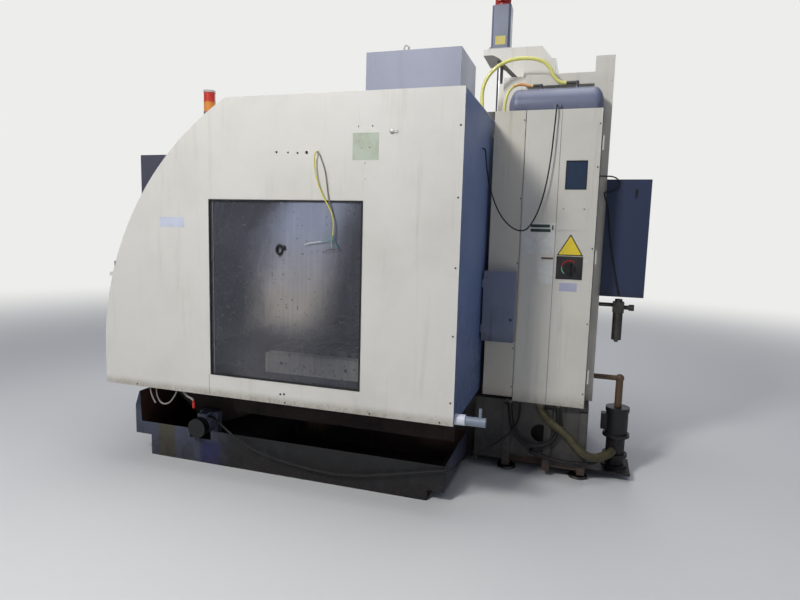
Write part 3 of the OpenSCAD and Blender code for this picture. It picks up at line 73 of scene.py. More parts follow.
BASE_CABLE = [(1044, -865, 291), (1044, -853, 291), (1052, -828, 290), (1066, -795, 284),
        (1082, -750, 268), (1098, -690, 238), (1108, -610, 196), (1114, -530, 160), (1117, -440, 132),
        (1118, -350, 114), (1118, -255, 100), (1118, -150, 89), (1118, -55, 81), (1118, 50, 81),
        (1118, 145, 90), (1118, 250, 106), (1118, 350, 126), (1117, 435, 145), (1116, 530, 165),
        (1113, 620, 185), (1103, 702, 198), (1050, 738, 204), (960, 745, 200), (860, 750, 180),
        (760, 762, 155), (670, 790, 142), (612, 845, 165), (582, 900, 200), (570, 950, 243),
        (562, 985, 283), (552, 1010, 322), (538, 1022, 362), (526, 1025, 402), (520, 1025, 436),
        (520, 1025, 456)]
U_HOSE = [(530, 964, 456), (530, 964, 440), (532, 967, 410), (533, 972, 370), (534, 981, 325),
        (535, 1000, 275), (536, 1030, 230), (537, 1075, 202), (537, 1125, 196), (536, 1175, 208),
        (535, 1218, 235), (534, 1246, 275), (533, 1257, 322), (532, 1257, 375), (530, 1253, 415),
        (530, 1252, 441), (530, 1252, 456)]
COOLANT_HOSE = [(530, 1148, 456), (530, 1148, 446), (536, 1154, 425), (549, 1173, 402),
        (564, 1204, 378), (577, 1240, 354), (583, 1283, 328), (583, 1325, 290), (578, 1362, 248),
        (570, 1396, 214), (560, 1428, 190), (546, 1460, 175), (524, 1490, 169), (496, 1517, 168),
        (462, 1543, 168), (428, 1563, 168), (396, 1577, 168), (372, 1584, 168)]
BIG_HOSE = [(437, 700, 2186), (437, 700, 2198), (437, 697, 2240), (437, 692, 2295), (437, 692, 2350),
        (437, 706, 2405), (437, 738, 2456), (437, 790, 2500), (437, 860, 2526), (437, 940, 2531),
        (437, 1010, 2520), (437, 1055, 2500), (437, 1088, 2465), (436, 1106, 2430), (435, 1128, 2399),
        (435, 1152, 2383), (435, 1173, 2378), (435, 1185, 2378)]
SMALL_HOSE = [(437, 770, 2080), (437, 782, 2080), (437, 802, 2086), (437, 819, 2100), (437, 829, 2122),
        (437, 832, 2155), (437, 832, 2205), (437, 833, 2255), (437, 838, 2300), (437, 853, 2343),
        (437, 880, 2371), (436, 915, 2382), (435, 950, 2377), (435, 970, 2371), (435, 983, 2370),
        (435, 995, 2370)]
# Bare wires that splay out of the panel cable's end, and the thin grey strand beside it
SPLAYED_WIRES = [
    ("white_wire", [(1309, 36, 1427), (1308, 16, 1425), (1308, -4, 1421), (1308, -30, 1418),
        (1307, -61, 1408)]),
    ("teal_wire", [(1316, 104, 1460), (1314, 92, 1446), (1311, 72, 1436), (1309, 50, 1430),
        (1309, 36, 1427)]),
    ("green_wire", [(1316, 104, 1460), (1317, 108, 1445), (1315, 113, 1428), (1312, 120, 1411),
        (1310, 127, 1397)]),
    ("light_green_wire", [(1316, 104, 1460), (1313, 98, 1444), (1311, 93, 1427), (1309, 94, 1410),
        (1309, 99, 1396)]),
    ("blue_wire", [(1316, 104, 1460), (1318, 112, 1440), (1316, 122, 1420), (1313, 132, 1405),
        (1311, 142, 1392)]),
    ("brown_wire", [(1308, 57, 1369), (1308, 64, 1379), (1309, 78, 1386), (1310, 101, 1390),
        (1310, 128, 1390), (1309, 155, 1385)])]
GREY_STRAND = [(1303, 10, 1885), (1306, 12, 1884), (1309, 19, 1876), (1309, 30, 1850), (1308, 50, 1795),
        (1307, 60, 1740), (1307, 66, 1695), (1307, 76, 1640), (1308, 90, 1600), (1308, 96, 1575)]
DRIP_HOSE = [(1270, -1066, 519), (1270, -1065, 484), (1270, -1061, 463), (1270, -1049, 440),
        (1270, -1033, 424), (1270, -1012, 419), (1270, -991, 424), (1270, -970, 435), (1270, -949, 459),
        (1270, -933, 482), (1270, -923, 504), (1270, -919, 519)]
DRIP_END = [(1272, -1109, 519), (1272, -1108, 494), (1272, -1103, 473), (1272, -1091, 446),
        (1272, -1073, 419)]
TAP_HOSE = [(1270, -876, 519), (1270, -868, 507), (1270, -850, 491), (1270, -834, 481),
        (1270, -814, 473), (1270, -802, 464)]
REAR_CABLE = [(356, 1395, 1849), (357, 1435, 1848), (358, 1474, 1846), (360, 1505, 1832),
        (362, 1518, 1806), (361, 1507, 1774), (359, 1469, 1758), (358, 1440, 1752), (358, 1443, 1725),
        (359, 1455, 1690), (359, 1465, 1647), (359, 1479, 1539), (359, 1497, 1432), (359, 1518, 1323),
        (359, 1542, 1214), (359, 1560, 1140)]


def mm(points):
    """Points in millimetres as vectors in metres."""
    return [Vector(p) / 1000 for p in points]


def linear(hex_colour, alpha=1.0):
    """An sRGB hex colour as linear red, green, blue and alpha."""
    parts = [int(hex_colour[i:i + 2], 16) / 255 for i in (0, 2, 4)]
    return tuple(c / 12.92 if c <= 0.04045 else ((c + 0.055) / 1.055) ** 2.4 for c in parts) + (alpha,)


def add_node(tree, kind, links=None, stops=None, **settings):
    """Adds a shader node of a kind, such as Math. Each link is a value or a (node, output) pair."""
    node = tree.nodes.new("ShaderNode" + kind)
    for key, value in settings.items():
        setattr(node, key, value)
    for key, value in (links or {}).items():
        if isinstance(value, tuple) and isinstance(value[0], bpy.types.Node):
            tree.links.new(value[0].outputs[value[1]], node.inputs[key])
        else:
            node.inputs[key].default_value = value
    if stops:
        ramp = node.color_ramp
        while len(ramp.elements) < len(stops):
            ramp.elements.new(0.5)
        for element, (place, colour) in zip(ramp.elements, stops):
            element.position = place
            element.color = colour
    return node


def new_material(name):
    """An empty material with its node tree and its output."""
    material = bpy.data.materials.new(name)
    material.use_nodes = True
    tree = material.node_tree
    tree.nodes.clear()
    return material, tree, add_node(tree, "OutputMaterial")


# Stove enamel on folded sheet: satin, slightly orange-peeled, with oily smears that run down,
# a dirty lower edge and small chips that show rust. Where a finish asks for it, the grime also carries
# painted shade.
def enamel(name, paint, grime_and_shade, rust="4A2A1C", grime_and_shade_level=0.5, low_edge=0.53, edge_height=0.12,
        roughness=0.42, streaks=0.5, chips=0.5, bands=None, zones=()):
    material, tree, output = new_material(name)
    place = (add_node(tree, "TexCoord"), "Object")
    cloud = add_node(tree, "TexNoise", {"Vector": place, "Scale": 1.7, "Detail": 6.0, "Roughness": 0.6})
    stretched = add_node(tree, "Mapping", {"Vector": place, "Scale": (22, 22, 1.3)})
    runs = add_node(tree, "TexNoise", {"Vector": (stretched, "Vector"), "Scale": 1.0, "Detail": 5.0,
            "Roughness": 0.65})
    run_mask = add_node(tree, "MapRange", {"Value": (runs, "Fac"), "From Min": 0.56, "From Max": 0.82,
            "To Max": streaks})
    cloud_mask = add_node(tree, "MapRange", {"Value": (cloud, "Fac"), "From Min": 0.45, "From Max": 0.8,
            "To Max": grime_and_shade_level * 0.5})
    height = add_node(tree, "SeparateXYZ", {"Vector": place})
    edge = add_node(tree, "MapRange", {"Value": (height, "Z"), "From Min": low_edge,
            "From Max": low_edge + edge_height, "To Min": 1.0, "To Max": 0.0},
            interpolation_type="SMOOTHSTEP")
    blotch = add_node(tree, "TexNoise", {"Vector": place, "Scale": 19.0, "Detail": 8.0,
            "Roughness": 0.7})
    edge_dirt = add_node(tree, "Math", {0: (edge, "Result"), 1: (blotch, "Fac")}, operation="MULTIPLY")
    smears = add_node(tree, "Math", {0: (run_mask, "Result"), 1: (cloud, "Fac")}, operation="MULTIPLY")
    dirt_sum = add_node(tree, "Math", {0: (smears, "Value"), 1: (cloud_mask, "Result")},
            operation="ADD")
    dirt_and_shade = add_node(tree, "Math", {0: (dirt_sum, "Value"), 1: (edge_dirt, "Value")}, operation="ADD",
            use_clamp=True)
    paint_colour = linear(paint)
    if bands:
        # Bands of other finishes up the piece, such as a lamp's lens over its pole
        span = add_node(tree, "MapRange", {"Value": (height, bands["axis"]), "From Min": bands["low"],
                "From Max": bands["high"]})
        paint_colour = (add_node(tree, "ValToRGB", {"Fac": (span, "Result")}, stops=bands["stops"]),
                "Color")
        paint_colour[0].color_ramp.interpolation = "CONSTANT"
    for low, high, colour, wobble in zones:
        # A box of another colour with ragged edges, used for a stain, a cap, the inside of a tray and
        # for painted shade; a large wobble softens its edge
        middle = [(a + b) / 2 for a, b in zip(low, high)]
        half = [(b - a) / 2 for a, b in zip(low, high)]
        ragged = add_node(tree, "TexNoise", {"Vector": place, "Scale": 16.0, "Detail": 5.0})
        centred = add_node(tree, "VectorMath", {0: (ragged, "Color"), 1: (0.5, 0.5, 0.5)},
                operation="SUBTRACT")
        moved = add_node(tree, "VectorMath", {0: (centred, "Vector"), 1: (wobble,) * 3, 2: place},
                operation="MULTIPLY_ADD")
        away = add_node(tree, "VectorMath", {0: (moved, "Vector"), 1: middle}, operation="SUBTRACT")
        size = add_node(tree, "VectorMath", {0: (away, "Vector")}, operation="ABSOLUTE")
        past = add_node(tree, "VectorMath", {0: (size, "Vector"), 1: half}, operation="SUBTRACT")
        parts = add_node(tree, "SeparateXYZ", {"Vector": (past, "Vector")})
        widest = add_node(tree, "Math", {0: (parts, "X"), 1: (parts, "Y")}, operation="MAXIMUM")
        widest = add_node(tree, "Math", {0: (widest, "Value"), 1: (parts, "Z")}, operation="MAXIMUM")
        inside = add_node(tree, "MapRange", {"Value": (widest, "Value"),
                "From Min": -max(wobble, 0.0004), "From Max": 0.0, "To Min": 1.0, "To Max": 0.0},
                interpolation_type="SMOOTHSTEP")
        base = add_node(tree, "Mix", {"Factor": (inside, "Result"), "A": paint_colour,
                "B": linear(colour)}, data_type="RGBA")
        paint_colour = (base, "Result")
    dirtied_and_shaded = add_node(tree, "Mix", {"Factor": (dirt_and_shade, "Value"), "A": paint_colour, "B": linear(grime_and_shade)},
            data_type="RGBA")
    flake = add_node(tree, "TexNoise", {"Vector": place, "Scale": 95.0, "Detail": 4.0,
            "Roughness": 0.6})
    flake_bias = add_node(tree, "Math", {0: (edge, "Result"), 1: 0.16, 2: (flake, "Fac")},
            operation="MULTIPLY_ADD")
    chip = add_node(tree, "MapRange", {"Value": (flake_bias, "Value"), "From Min": 0.735,
            "From Max": 0.76, "To Max": chips})
    worn = add_node(tree, "Mix", {"Factor": (chip, "Result"), "A": (dirtied_and_shaded, "Result"),
            "B": linear(rust)}, data_type="RGBA")
    rough = add_node(tree, "MapRange", {"Value": (dirt_and_shade, "Value"), "To Min": roughness,
            "To Max": min(1.0, roughness + 0.35)})
    peel = add_node(tree, "TexNoise", {"Vector": place, "Scale": 420.0, "Detail": 2.0})
    sag = add_node(tree, "TexNoise", {"Vector": place, "Scale": 3.2, "Detail": 1.0})
    wave = add_node(tree, "Bump", {"Height": (sag, "Fac"), "Strength": 0.18, "Distance": 0.012})
    chip_bump = add_node(tree, "Bump", {"Height": (chip, "Result"), "Strength": 0.4, "Distance": 0.0006,
            "Normal": (wave, "Normal")}, invert=True)
    bump = add_node(tree, "Bump", {"Height": (peel, "Fac"), "Strength": 0.12, "Distance": 0.0005,
            "Normal": (chip_bump, "Normal")})
    shader = add_node(tree, "BsdfPrincipled", {"Base Color": (worn, "Result"),
            "Roughness": (rough, "Result"), "Normal": (bump, "Normal")})
    tree.links.new(shader.outputs["BSDF"], output.inputs["Surface"])
    return material


# Bare or oily steel: ground or turned lines, brown bloom of old coolant, metallic
def steel(name, colour, bloom, roughness=0.32, lines=(4.0, 900.0, 900.0), bloom_level=0.4):
    material, tree, output = new_material(name)
    place = (add_node(tree, "TexCoord"), "Object")
    stretched = add_node(tree, "Mapping", {"Vector": place, "Scale": lines})
    grain = add_node(tree, "TexNoise", {"Vector": (stretched, "Vector"), "Scale": 1.0, "Detail": 3.0})
    stain = add_node(tree, "TexNoise", {"Vector": place, "Scale": 9.0, "Detail": 7.0,
            "Roughness": 0.62})
    mask = add_node(tree, "MapRange", {"Value": (stain, "Fac"), "From Min": 0.42, "From Max": 0.75,
            "To Max": bloom_level})
    mixed = add_node(tree, "Mix", {"Factor": (mask, "Result"), "A": linear(colour), "B": linear(bloom)},
            data_type="RGBA")
    rough_mask = add_node(tree, "Math", {0: (grain, "Fac"), 1: 0.16, 2: (mask, "Result")},
            operation="MULTIPLY_ADD")
    rough = add_node(tree, "MapRange", {"Value": (rough_mask, "Value"), "To Min": roughness,
            "To Max": 0.8})
    bump = add_node(tree, "Bump", {"Height": (grain, "Fac"), "Strength": 0.12, "Distance": 0.0002})
    shader = add_node(tree, "BsdfPrincipled", {"Base Color": (mixed, "Result"),
            "Roughness": (rough, "Result"), "Metallic": 1.0, "Normal": (bump, "Normal")})
    tree.links.new(shader.outputs["BSDF"], output.inputs["Surface"])
    return material


# Moulded plastic or rubber: even colour, fine moulding texture, a little dust in it
def moulded(name, colour, dust, roughness=0.45, dust_level=0.35, grain=600.0, coat=0.0):
    material, tree, output = new_material(name)
    place = (add_node(tree, "TexCoord"), "Object")
    film = add_node(tree, "TexNoise", {"Vector": place, "Scale": 14.0, "Detail": 6.0, "Roughness": 0.7})
    mask = add_node(tree, "MapRange", {"Value": (film, "Fac"), "From Min": 0.4, "From Max": 0.8,
            "To Max": dust_level})
    mixed = add_node(tree, "Mix", {"Factor": (mask, "Result"), "A": linear(colour), "B": linear(dust)},
            data_type="RGBA")
    rough = add_node(tree, "MapRange", {"Value": (mask, "Result"), "To Min": roughness, "To Max": 0.95})
    skin = add_node(tree, "TexNoise", {"Vector": place, "Scale": grain, "Detail": 1.0})
    bump = add_node(tree, "Bump", {"Height": (skin, "Fac"), "Strength": 0.15, "Distance": 0.0003})
    shader = add_node(tree, "BsdfPrincipled", {"Base Color": (mixed, "Result"),
            "Roughness": (rough, "Result"), "Coat Weight": coat, "Normal": (bump, "Normal")})
    tree.links.new(shader.outputs["BSDF"], output.inputs["Surface"])
    return material


# Laminated window pane fogged by dried coolant, with a pale band that slants down the middle: painted
# reflection of light over real haze, bluer towards the top, with spatter and runs on it; dark where the
# chamber behind shows through
def fogged_glass(name, film_low=0.19, film_high=0.4, haze_and_reflection_level=0.54, tint_hex="9A948E"):
    material, tree, output = new_material(name)
    place = (add_node(tree, "TexCoord"), "Object")
    haze = add_node(tree, "TexNoise", {"Vector": place, "Scale": 2.6, "Detail": 6.0, "Roughness": 0.6})
    stretched = add_node(tree, "Mapping", {"Vector": place, "Scale": (60, 60, 2.5)})
    runs = add_node(tree, "TexNoise", {"Vector": (stretched, "Vector"), "Scale": 1.0, "Detail": 4.0})
    parts = add_node(tree, "SeparateXYZ", {"Vector": place})
    slant = add_node(tree, "VectorMath", {0: place, 1: (0.0, 1.0, -0.25)}, operation="DOT_PRODUCT")
    offset = add_node(tree, "Math", {0: (slant, "Value"), 1: 0.425}, operation="ADD")
    wavy = add_node(tree, "Math", {0: (haze, "Fac"), 1: 0.22, 2: (offset, "Value")},
            operation="MULTIPLY_ADD")
    centred = add_node(tree, "Math", {0: (wavy, "Value"), 1: 0.11}, operation="SUBTRACT")
    away = add_node(tree, "Math", {0: (centred, "Value")}, operation="ABSOLUTE")
    # The slanting pale band: painted reflection of light mixed with haze
    band = add_node(tree, "MapRange", {"Value": (away, "Value"), "From Min": 0.06, "From Max": 0.33,
            "To Min": haze_and_reflection_level, "To Max": 0.0}, interpolation_type="SMOOTHSTEP")
    rise = add_node(tree, "MapRange", {"Value": (parts, "Z"), "From Min": 0.86, "From Max": 1.06,
            "To Min": 0.15}, interpolation_type="SMOOTHSTEP")
    patch = add_node(tree, "Math", {0: (band, "Result"), 1: (rise, "Result")}, operation="MULTIPLY")
    film = add_node(tree, "MapRange", {"Value": (haze, "Fac"), "From Min": 0.3, "From Max": 0.8,
            "To Min": film_low, "To Max": film_high})
    run_film = add_node(tree, "MapRange", {"Value": (runs, "Fac"), "From Min": 0.5, "From Max": 0.8,
            "To Max": 0.14})
    specks = add_node(tree, "TexNoise", {"Vector": place, "Scale": 60.0, "Detail": 3.0})
    speck = add_node(tree, "MapRange", {"Value": (specks, "Fac"), "From Min": 0.65, "From Max": 0.69,
            "To Max": 0.75})
    a = add_node(tree, "Math", {0: (film, "Result"), 1: (patch, "Value")}, operation="ADD")
    b = add_node(tree, "Math", {0: (a, "Value"), 1: (run_film, "Result")}, operation="ADD")
    cover = add_node(tree, "Math", {0: (b, "Value"), 1: (speck, "Result")}, operation="ADD",
            use_clamp=True)
    height = add_node(tree, "MapRange", {"Value": (parts, "Z"), "From Min": 1.1, "From Max": 1.5})
    pale = add_node(tree, "Mix", {"Factor": (height, "Result"), "A": linear(tint_hex),
            "B": linear("8C92A4")}, data_type="RGBA")
    clear = add_node(tree, "MapRange", {"Value": (patch, "Value"), "From Max": 0.5})
    smoke = add_node(tree, "Mix", {"Factor": (clear, "Result"), "A": linear("5E5F67"),
            "B": (pale, "Result")}, data_type="RGBA")
    tint = add_node(tree, "Mix", {"Factor": (speck, "Result"), "A": (smoke, "Result"),
            "B": linear("2C2A27")}, data_type="RGBA")
    rough = add_node(tree, "MapRange", {"Value": (cover, "Value"), "To Min": 0.12, "To Max": 0.7})
    shader = add_node(tree, "BsdfPrincipled", {"Base Color": (tint, "Result"),
            "Roughness": (rough, "Result"), "Alpha": (cover, "Value"), "IOR": 1.5})
    tree.links.new(shader.outputs["BSDF"], output.inputs["Surface"])
    return material


def make_finishes():
    """Every finish of the machine, by the record's slot or by the small part that wears it."""
    head_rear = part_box("head_cover")[1].y
    finishes = {
        # Baked enamel on folded sheet: smooth and satin, greyed where oil ran down
        "panel_paint": enamel("stove_enamel_cream", "D8D5CC", "8C8270", grime_and_shade_level=0.45,
            edge_height=0.05, streaks=0.45, chips=0.3, roughness=0.38),
        # The cabinet's baked enamel: warmer, with a dark meter window, and a dark strip along the
        # door's rear edge that is painted shade in the door gap
        "cabinet_paint": enamel("stove_enamel_beige", "D2CEC2", "7C7466", low_edge=0.45,
            grime_and_shade_level=0.5, streaks=0.6, zones=[((0.5605, 1.1928, 1.2368), (0.58, 1.3412, 1.3712),
            "17181A", 0.0), ((0.54, 1.3988, 0.4), (0.5605, 1.4036, 2.3), "2B2622", 0.0)]),
        # Brushed air-drying paint on the rear sheets: dull blue, darker lower down
        "rear_blue_paint": enamel("air_dried_paint_blue_grey", "6A80AE", "22304E", edge_height=1.1),
        # Filled and painted cast iron with a soft sheen; its dark grey and heavy black grime are partly
        # real oil and partly painted shade under the machine
        "casting_paint": enamel("filler_and_paint_on_cast_iron", "5C5A56", "1C1916", low_edge=0.03,
            edge_height=0.55, roughness=0.55, grime_and_shade_level=1.2, streaks=1.0,
            zones=[((-0.6, 0.9, 0.0), (0.6, 1.5, 0.1), "6E584A", 0.03),
            ((0.4285, 1.09, 0.21), (0.4985, 1.216, 0.33), "0C0C0C", 0.0)]),
        # Painted tank sheet: dark with oil, brown inside, a bluish patch; the rear part of its front
        # face is painted near-black with a soft edge, a painted shade under the machine
        "tank_paint": enamel("oily_paint_on_tank_sheet", "4A5062", "14130F", low_edge=-0.02,
            edge_height=0.4, grime_and_shade_level=1.1, streaks=0.8, zones=[((-1.0862, -1.3862, 0.002),
            (1.0862, 0.686, 0.5), "52382F", 0.0), ((0.9, -0.86, -0.4), (1.6, 1.2, 0.6), "0D0E12", 0.2),
            ((1.0, -1.225, -0.1), (1.3, -1.075, 0.3), "4C4838", 0.025),
            ((1.0, -1.185, 0.03), (1.3, -1.105, 0.13), "54403A", 0.04),
            ((1.0, -0.915, -0.1), (1.3, -0.735, 0.165), "222C66", 0.04)]),
        # Bare chute sheet rusted brown and soaked with coolant: matt
        "rusty_sheet": enamel("rusted_chute_sheet", "2E1812", "120E0C", grime_and_shade_level=1.2, roughness=0.7,
            chips=0.2),
        # Powder coat: fine even grain, dark blue
        "cabinet_blue_paint": enamel("powder_coat_dark_blue", "2E3852", "171A22", low_edge=1.1,
            grime_and_shade_level=0.3, chips=0.2),
        # Powder coat: fine even grain, charcoal with a dusty foot
        "pendant_paint": enamel("powder_coat_charcoal", "4B4C57", "2A2926", low_edge=1.22,
            grime_and_shade_level=0.5, chips=0.3),
        # Sprayed enamel on a pressed vessel: glossy grey-blue over a dull foot
        "air_tank_paint": enamel("air_tank_enamel", "74798E", "3A3A40", low_edge=2.1, roughness=0.3,
            streaks=0.3, chips=0.3, bands={"axis": "Z", "low": 2.1, "high": 2.4,
            "stops": [(0.0, linear("74798E")), (0.845, linear("4A4844"))]}),
        # Zinc-coated sheet: pale blue-grey, softly clouded; the head cover's rear side face is painted
        # darker blue as painted shade
        "galvanised_sheet": enamel("galvanised_sheet", "8E92A4", "56585A", low_edge=2.0, roughness=0.48,
            chips=0.1, zones=[((-2.0, head_rear - 0.0005, 2.0), (2.0, head_rear + 0.01, 3.0), "8086A0",
            0.0)]),
        # Motor enamel: half-gloss grey, with a dull pale flange
        "motor_paint": enamel("motor_enamel_grey", "767C8E", "1E1D20", low_edge=0.1, roughness=0.4,
            chips=0.3, grime_and_shade_level=0.8, zones=[((1.078, -1.0, 0.15), (1.14, -0.8, 0.32), "070708", 0.0),
            ((-0.2, 0.6, 2.68), (0.2, 0.86, 2.7105), "C4C6C4", 0.0)]),
        # Enamel on a pressed box: grey-blue with dark runs
        "terminal_box_paint": enamel("terminal_box_enamel", "7A8094", "2E2E34", low_edge=0.8,
            grime_and_shade_level=0.9, streaks=0.8, chips=0.4),
        # Glossy red enamel on a moulded cap
        "cap_red": enamel("motor_cap_enamel_red", "B23024", "4C1A14", low_edge=0.1, roughness=0.35,
            chips=0.2),
        # Ground steel: fine straight lines and a bright sheen
        "bright_steel": steel("ground_steel", "B4B4B2", "6B5A46"),
        # Oiled steel: dark, with brown bloom
        "dark_steel": steel("oiled_steel", "5E5C58", "2A221A", roughness=0.42, bloom_level=0.8),
        # Laminated pane fogged by coolant, with a pale band of painted reflection
        "window_glass": fogged_glass("laminated_glass_fog_and_painted_reflection"),
        # The same pane, nearly blind with old oil
        "door_pane": fogged_glass("oily_laminated_glass", 0.78, 0.97, 0.0, "2E2E30"),
        # Planed cast iron: oily, with a soft sheen along the strokes
        "table_iron": steel("oiled_table_iron", "565450", "1E1A16", roughness=0.45, bloom_level=0.9),
        # Dead screen: deep black and clear gloss
        "screen_glass": moulded("dead_screen_glass", "0B0E12", "2A2C2C", roughness=0.12,
            dust_level=0.12, coat=0.6),
        # Moulded plastics: even colour, fine grain, dust in the corners
        "black_plastic": moulded("black_abs", "141414", "4A463E", roughness=0.4),
        "red_plastic": moulded("red_polycarbonate", "C2170F", "6A2B20", roughness=0.28, dust_level=0.2,
            coat=0.3),
        "pale_green_print": moulded("pale_green_print", "7FB596", "5A6A58", roughness=0.5),
        "green_plastic": moulded("green_polycarbonate", "1E7A3A", "34402C", roughness=0.28,
            dust_level=0.2),
        "amber_plastic": moulded("amber_polycarbonate", "DE9A1C", "6A5228", roughness=0.28,
            dust_level=0.2),
        # Moulded lenses in colours over a metal pole
        "lamp_lens": enamel("signal_lamp_lenses", "C8502A", "6A3A2A", low_edge=1.6, roughness=0.25,
            streaks=0.1, chips=0.0, bands={"axis": "Z", "low": 2.0, "high": 2.4,
            "stops": [(0.0, linear("7C7C80")), (0.5625, linear("D98A3C")), (0.715, linear("C23A2C")),
            (0.86, linear("B8B6B0"))]}),
        # Extruded pipe: smooth and pale, darker blue-grey from part way along towards its far end
        "pale_plastic": enamel("upvc_drain", "C9D0DC", "77705C", low_edge=0.4, roughness=0.35,
            chips=0.0, bands={"axis": "Y", "low": 0.7, "high": 1.0, "stops": [(0.0, linear("D4D8E0")),
            (0.41, linear("7D8794"))]}),
        # Vulcanised rubber: matt and nearly black
        "black_rubber": moulded("black_rubber", "0D0D0D", "2C2924", roughness=0.6, dust_level=0.25,
            grain=900.0),
        # Extruded tube and cable skins: slightly waxy
        "yellow_hose": moulded("polyurethane_yellow", "DDD978", "9A8F52", roughness=0.3, dust_level=0.3,
            coat=0.2),
        "yellow_cable": moulded("pvc_cable_yellow", "D6CB58", "7E7440", roughness=0.38),
        # Ribbed hose: greasy and dusty between its ribs
        "khaki_hose": moulded("oily_pvc_hose_khaki", "4A4426", "18150F", roughness=0.4, dust_level=0.8,
            grain=260.0),
        # Pump enamel: black, with a rusty brown pipe above
        "pump_enamel": enamel("pump_enamel_black", "141418", "0A0A0A", low_edge=0.02, edge_height=0.5,
            grime_and_shade_level=1.0, roughness=0.45, bands={"axis": "Z", "low": 0.0, "high": 0.8,
            "stops": [(0.0, linear("121216")), (0.546, linear("5B4630"))]}),
        # The cabinet's shell: enamel over a black gland plate
        "gland_sheet": enamel("cabinet_shell_beige", "CEC8B8", "746C5C", low_edge=0.45, grime_and_shade_level=0.5,
            bands={"axis": "Z", "low": 0.4, "high": 2.3, "stops": [(0.0, linear("1B1B1B")),
            (0.0347, linear("CEC8B8"))]}),
        # Printed films without print: flat and slightly soiled
        "label_white": moulded("white_label_film", "D9D8D2", "8C8670", roughness=0.5, dust_level=0.45),
        "label_blue_white": moulded("pale_blue_label", "C9CEDC", "8C8C86", roughness=0.5,
            dust_level=0.35),
        "motor_label": moulded("faded_yellow_label", "C9BA62", "7A7040", roughness=0.5),
        "label_yellow": moulded("yellow_label_film", "E6CB32", "86702A", roughness=0.45,
            dust_level=0.25),
        "label_green": moulded("dark_green_label_band", "22352E", "3A3F36", roughness=0.5),
        "label_brown": moulded("brown_label_band", "6A4632", "4A3A2C", roughness=0.5),
        "label_lilac": moulded("pale_lilac_label", "AFAFC6", "86826F", roughness=0.5),
        "faded_green": moulded("faded_green_patch", "B4BDAA", "8C8A72", roughness=0.55, dust_level=0.5),
        "window_blue": moulded("meter_window_smoked", "2C3B4E", "1C2028", roughness=0.15,
            dust_level=0.25, coat=0.5),
        "orange_hose": moulded("polyurethane_orange", "D99A5E", "A9804E", roughness=0.35),
        # Pale tube whose grey is darkened as painted shade, with oily dust
        "oily_tube": moulded("oily_polyethylene_tube_painted_shade", "948C88", "4A443E", roughness=0.35,
            dust_level=0.6),
        "teal_wire_skin": moulded("pvc_wire_teal", "5FA39A", "4F6A62", roughness=0.4),
        "light_green_wire_skin": moulded("pvc_wire_light_green", "9CC58A", "6A7A5A", roughness=0.4),
        "white_wire_skin": moulded("pvc_wire_white", "E4E2D8", "8E8A78", roughness=0.4),
        "blue_wire_skin": moulded("pvc_wire_blue", "33507E", "3A4250", roughness=0.4),
        "green_wire_skin": moulded("pvc_wire_green", "3F8A62", "3F5A44", roughness=0.4),
        "brown_wire_skin": moulded("pvc_wire_brown", "33241C", "2A221C", roughness=0.4),
        "grey_wire_skin": moulded("pvc_wire_grey", "87807A", "5E5852", roughness=0.4)}
    return finishes


FINISH = {}


def deselect():
    bpy.ops.object.select_all(action="DESELECT")


def pick(piece):
    deselect()
    piece.select_set(True)
    bpy.context.view_layer.objects.active = piece


def bake_place(piece):
    """Puts the piece's place, turn and size into its mesh, so that its object sits at the origin."""
    pick(piece)
    bpy.ops.object.transform_apply(location=True, rotation=True, scale=True)


def dress(piece, finish, body):
    """Gives a new piece its finish and the body it moves with."""
    piece.data.materials.clear()
    piece.data.materials.append(FINISH[finish])
    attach(piece, body)
    return piece


def smooth(points, steps):
    """A finer line through the points, with no corner at any of them."""
    points = mm(points)
    line = []
    for i in range(len(points) - 1):
        p0, p1, p2 = points[max(i - 1, 0)], points[i], points[i + 1]
        p3 = points[min(i + 2, len(points) - 1)]
        for k in range(steps):
            t = k / steps
            line.append(0.5 * ((2 * p1) + (p2 - p0) * t + (2 * p0 - 5 * p1 + 4 * p2 - p3) * t ** 2
                    + (3 * p1 - p0 - 3 * p2 + p3) * t ** 3))
    line.append(points[-1])
    return line


def length_of(line):
    return sum((b - a).length for a, b in zip(line, line[1:]))


def run_curve(name, line, diameter, sides=5):
    """A round cable or hose as one open spline along a line."""
    data = bpy.data.curves.new(name, "CURVE")
    data.dimensions = "3D"
    data.bevel_depth = diameter / 2
    data.bevel_resolution = sides
    data.use_fill_caps = True
    spline = data.splines.new("POLY")
    spline.points.add(len(line) - 1)
    for point, place in zip(spline.points, line):
        point.co = (*place, 1)
    spline.use_smooth = True
    piece = bpy.data.objects.new(name, data)
    bpy.context.collection.objects.link(piece)
    return piece


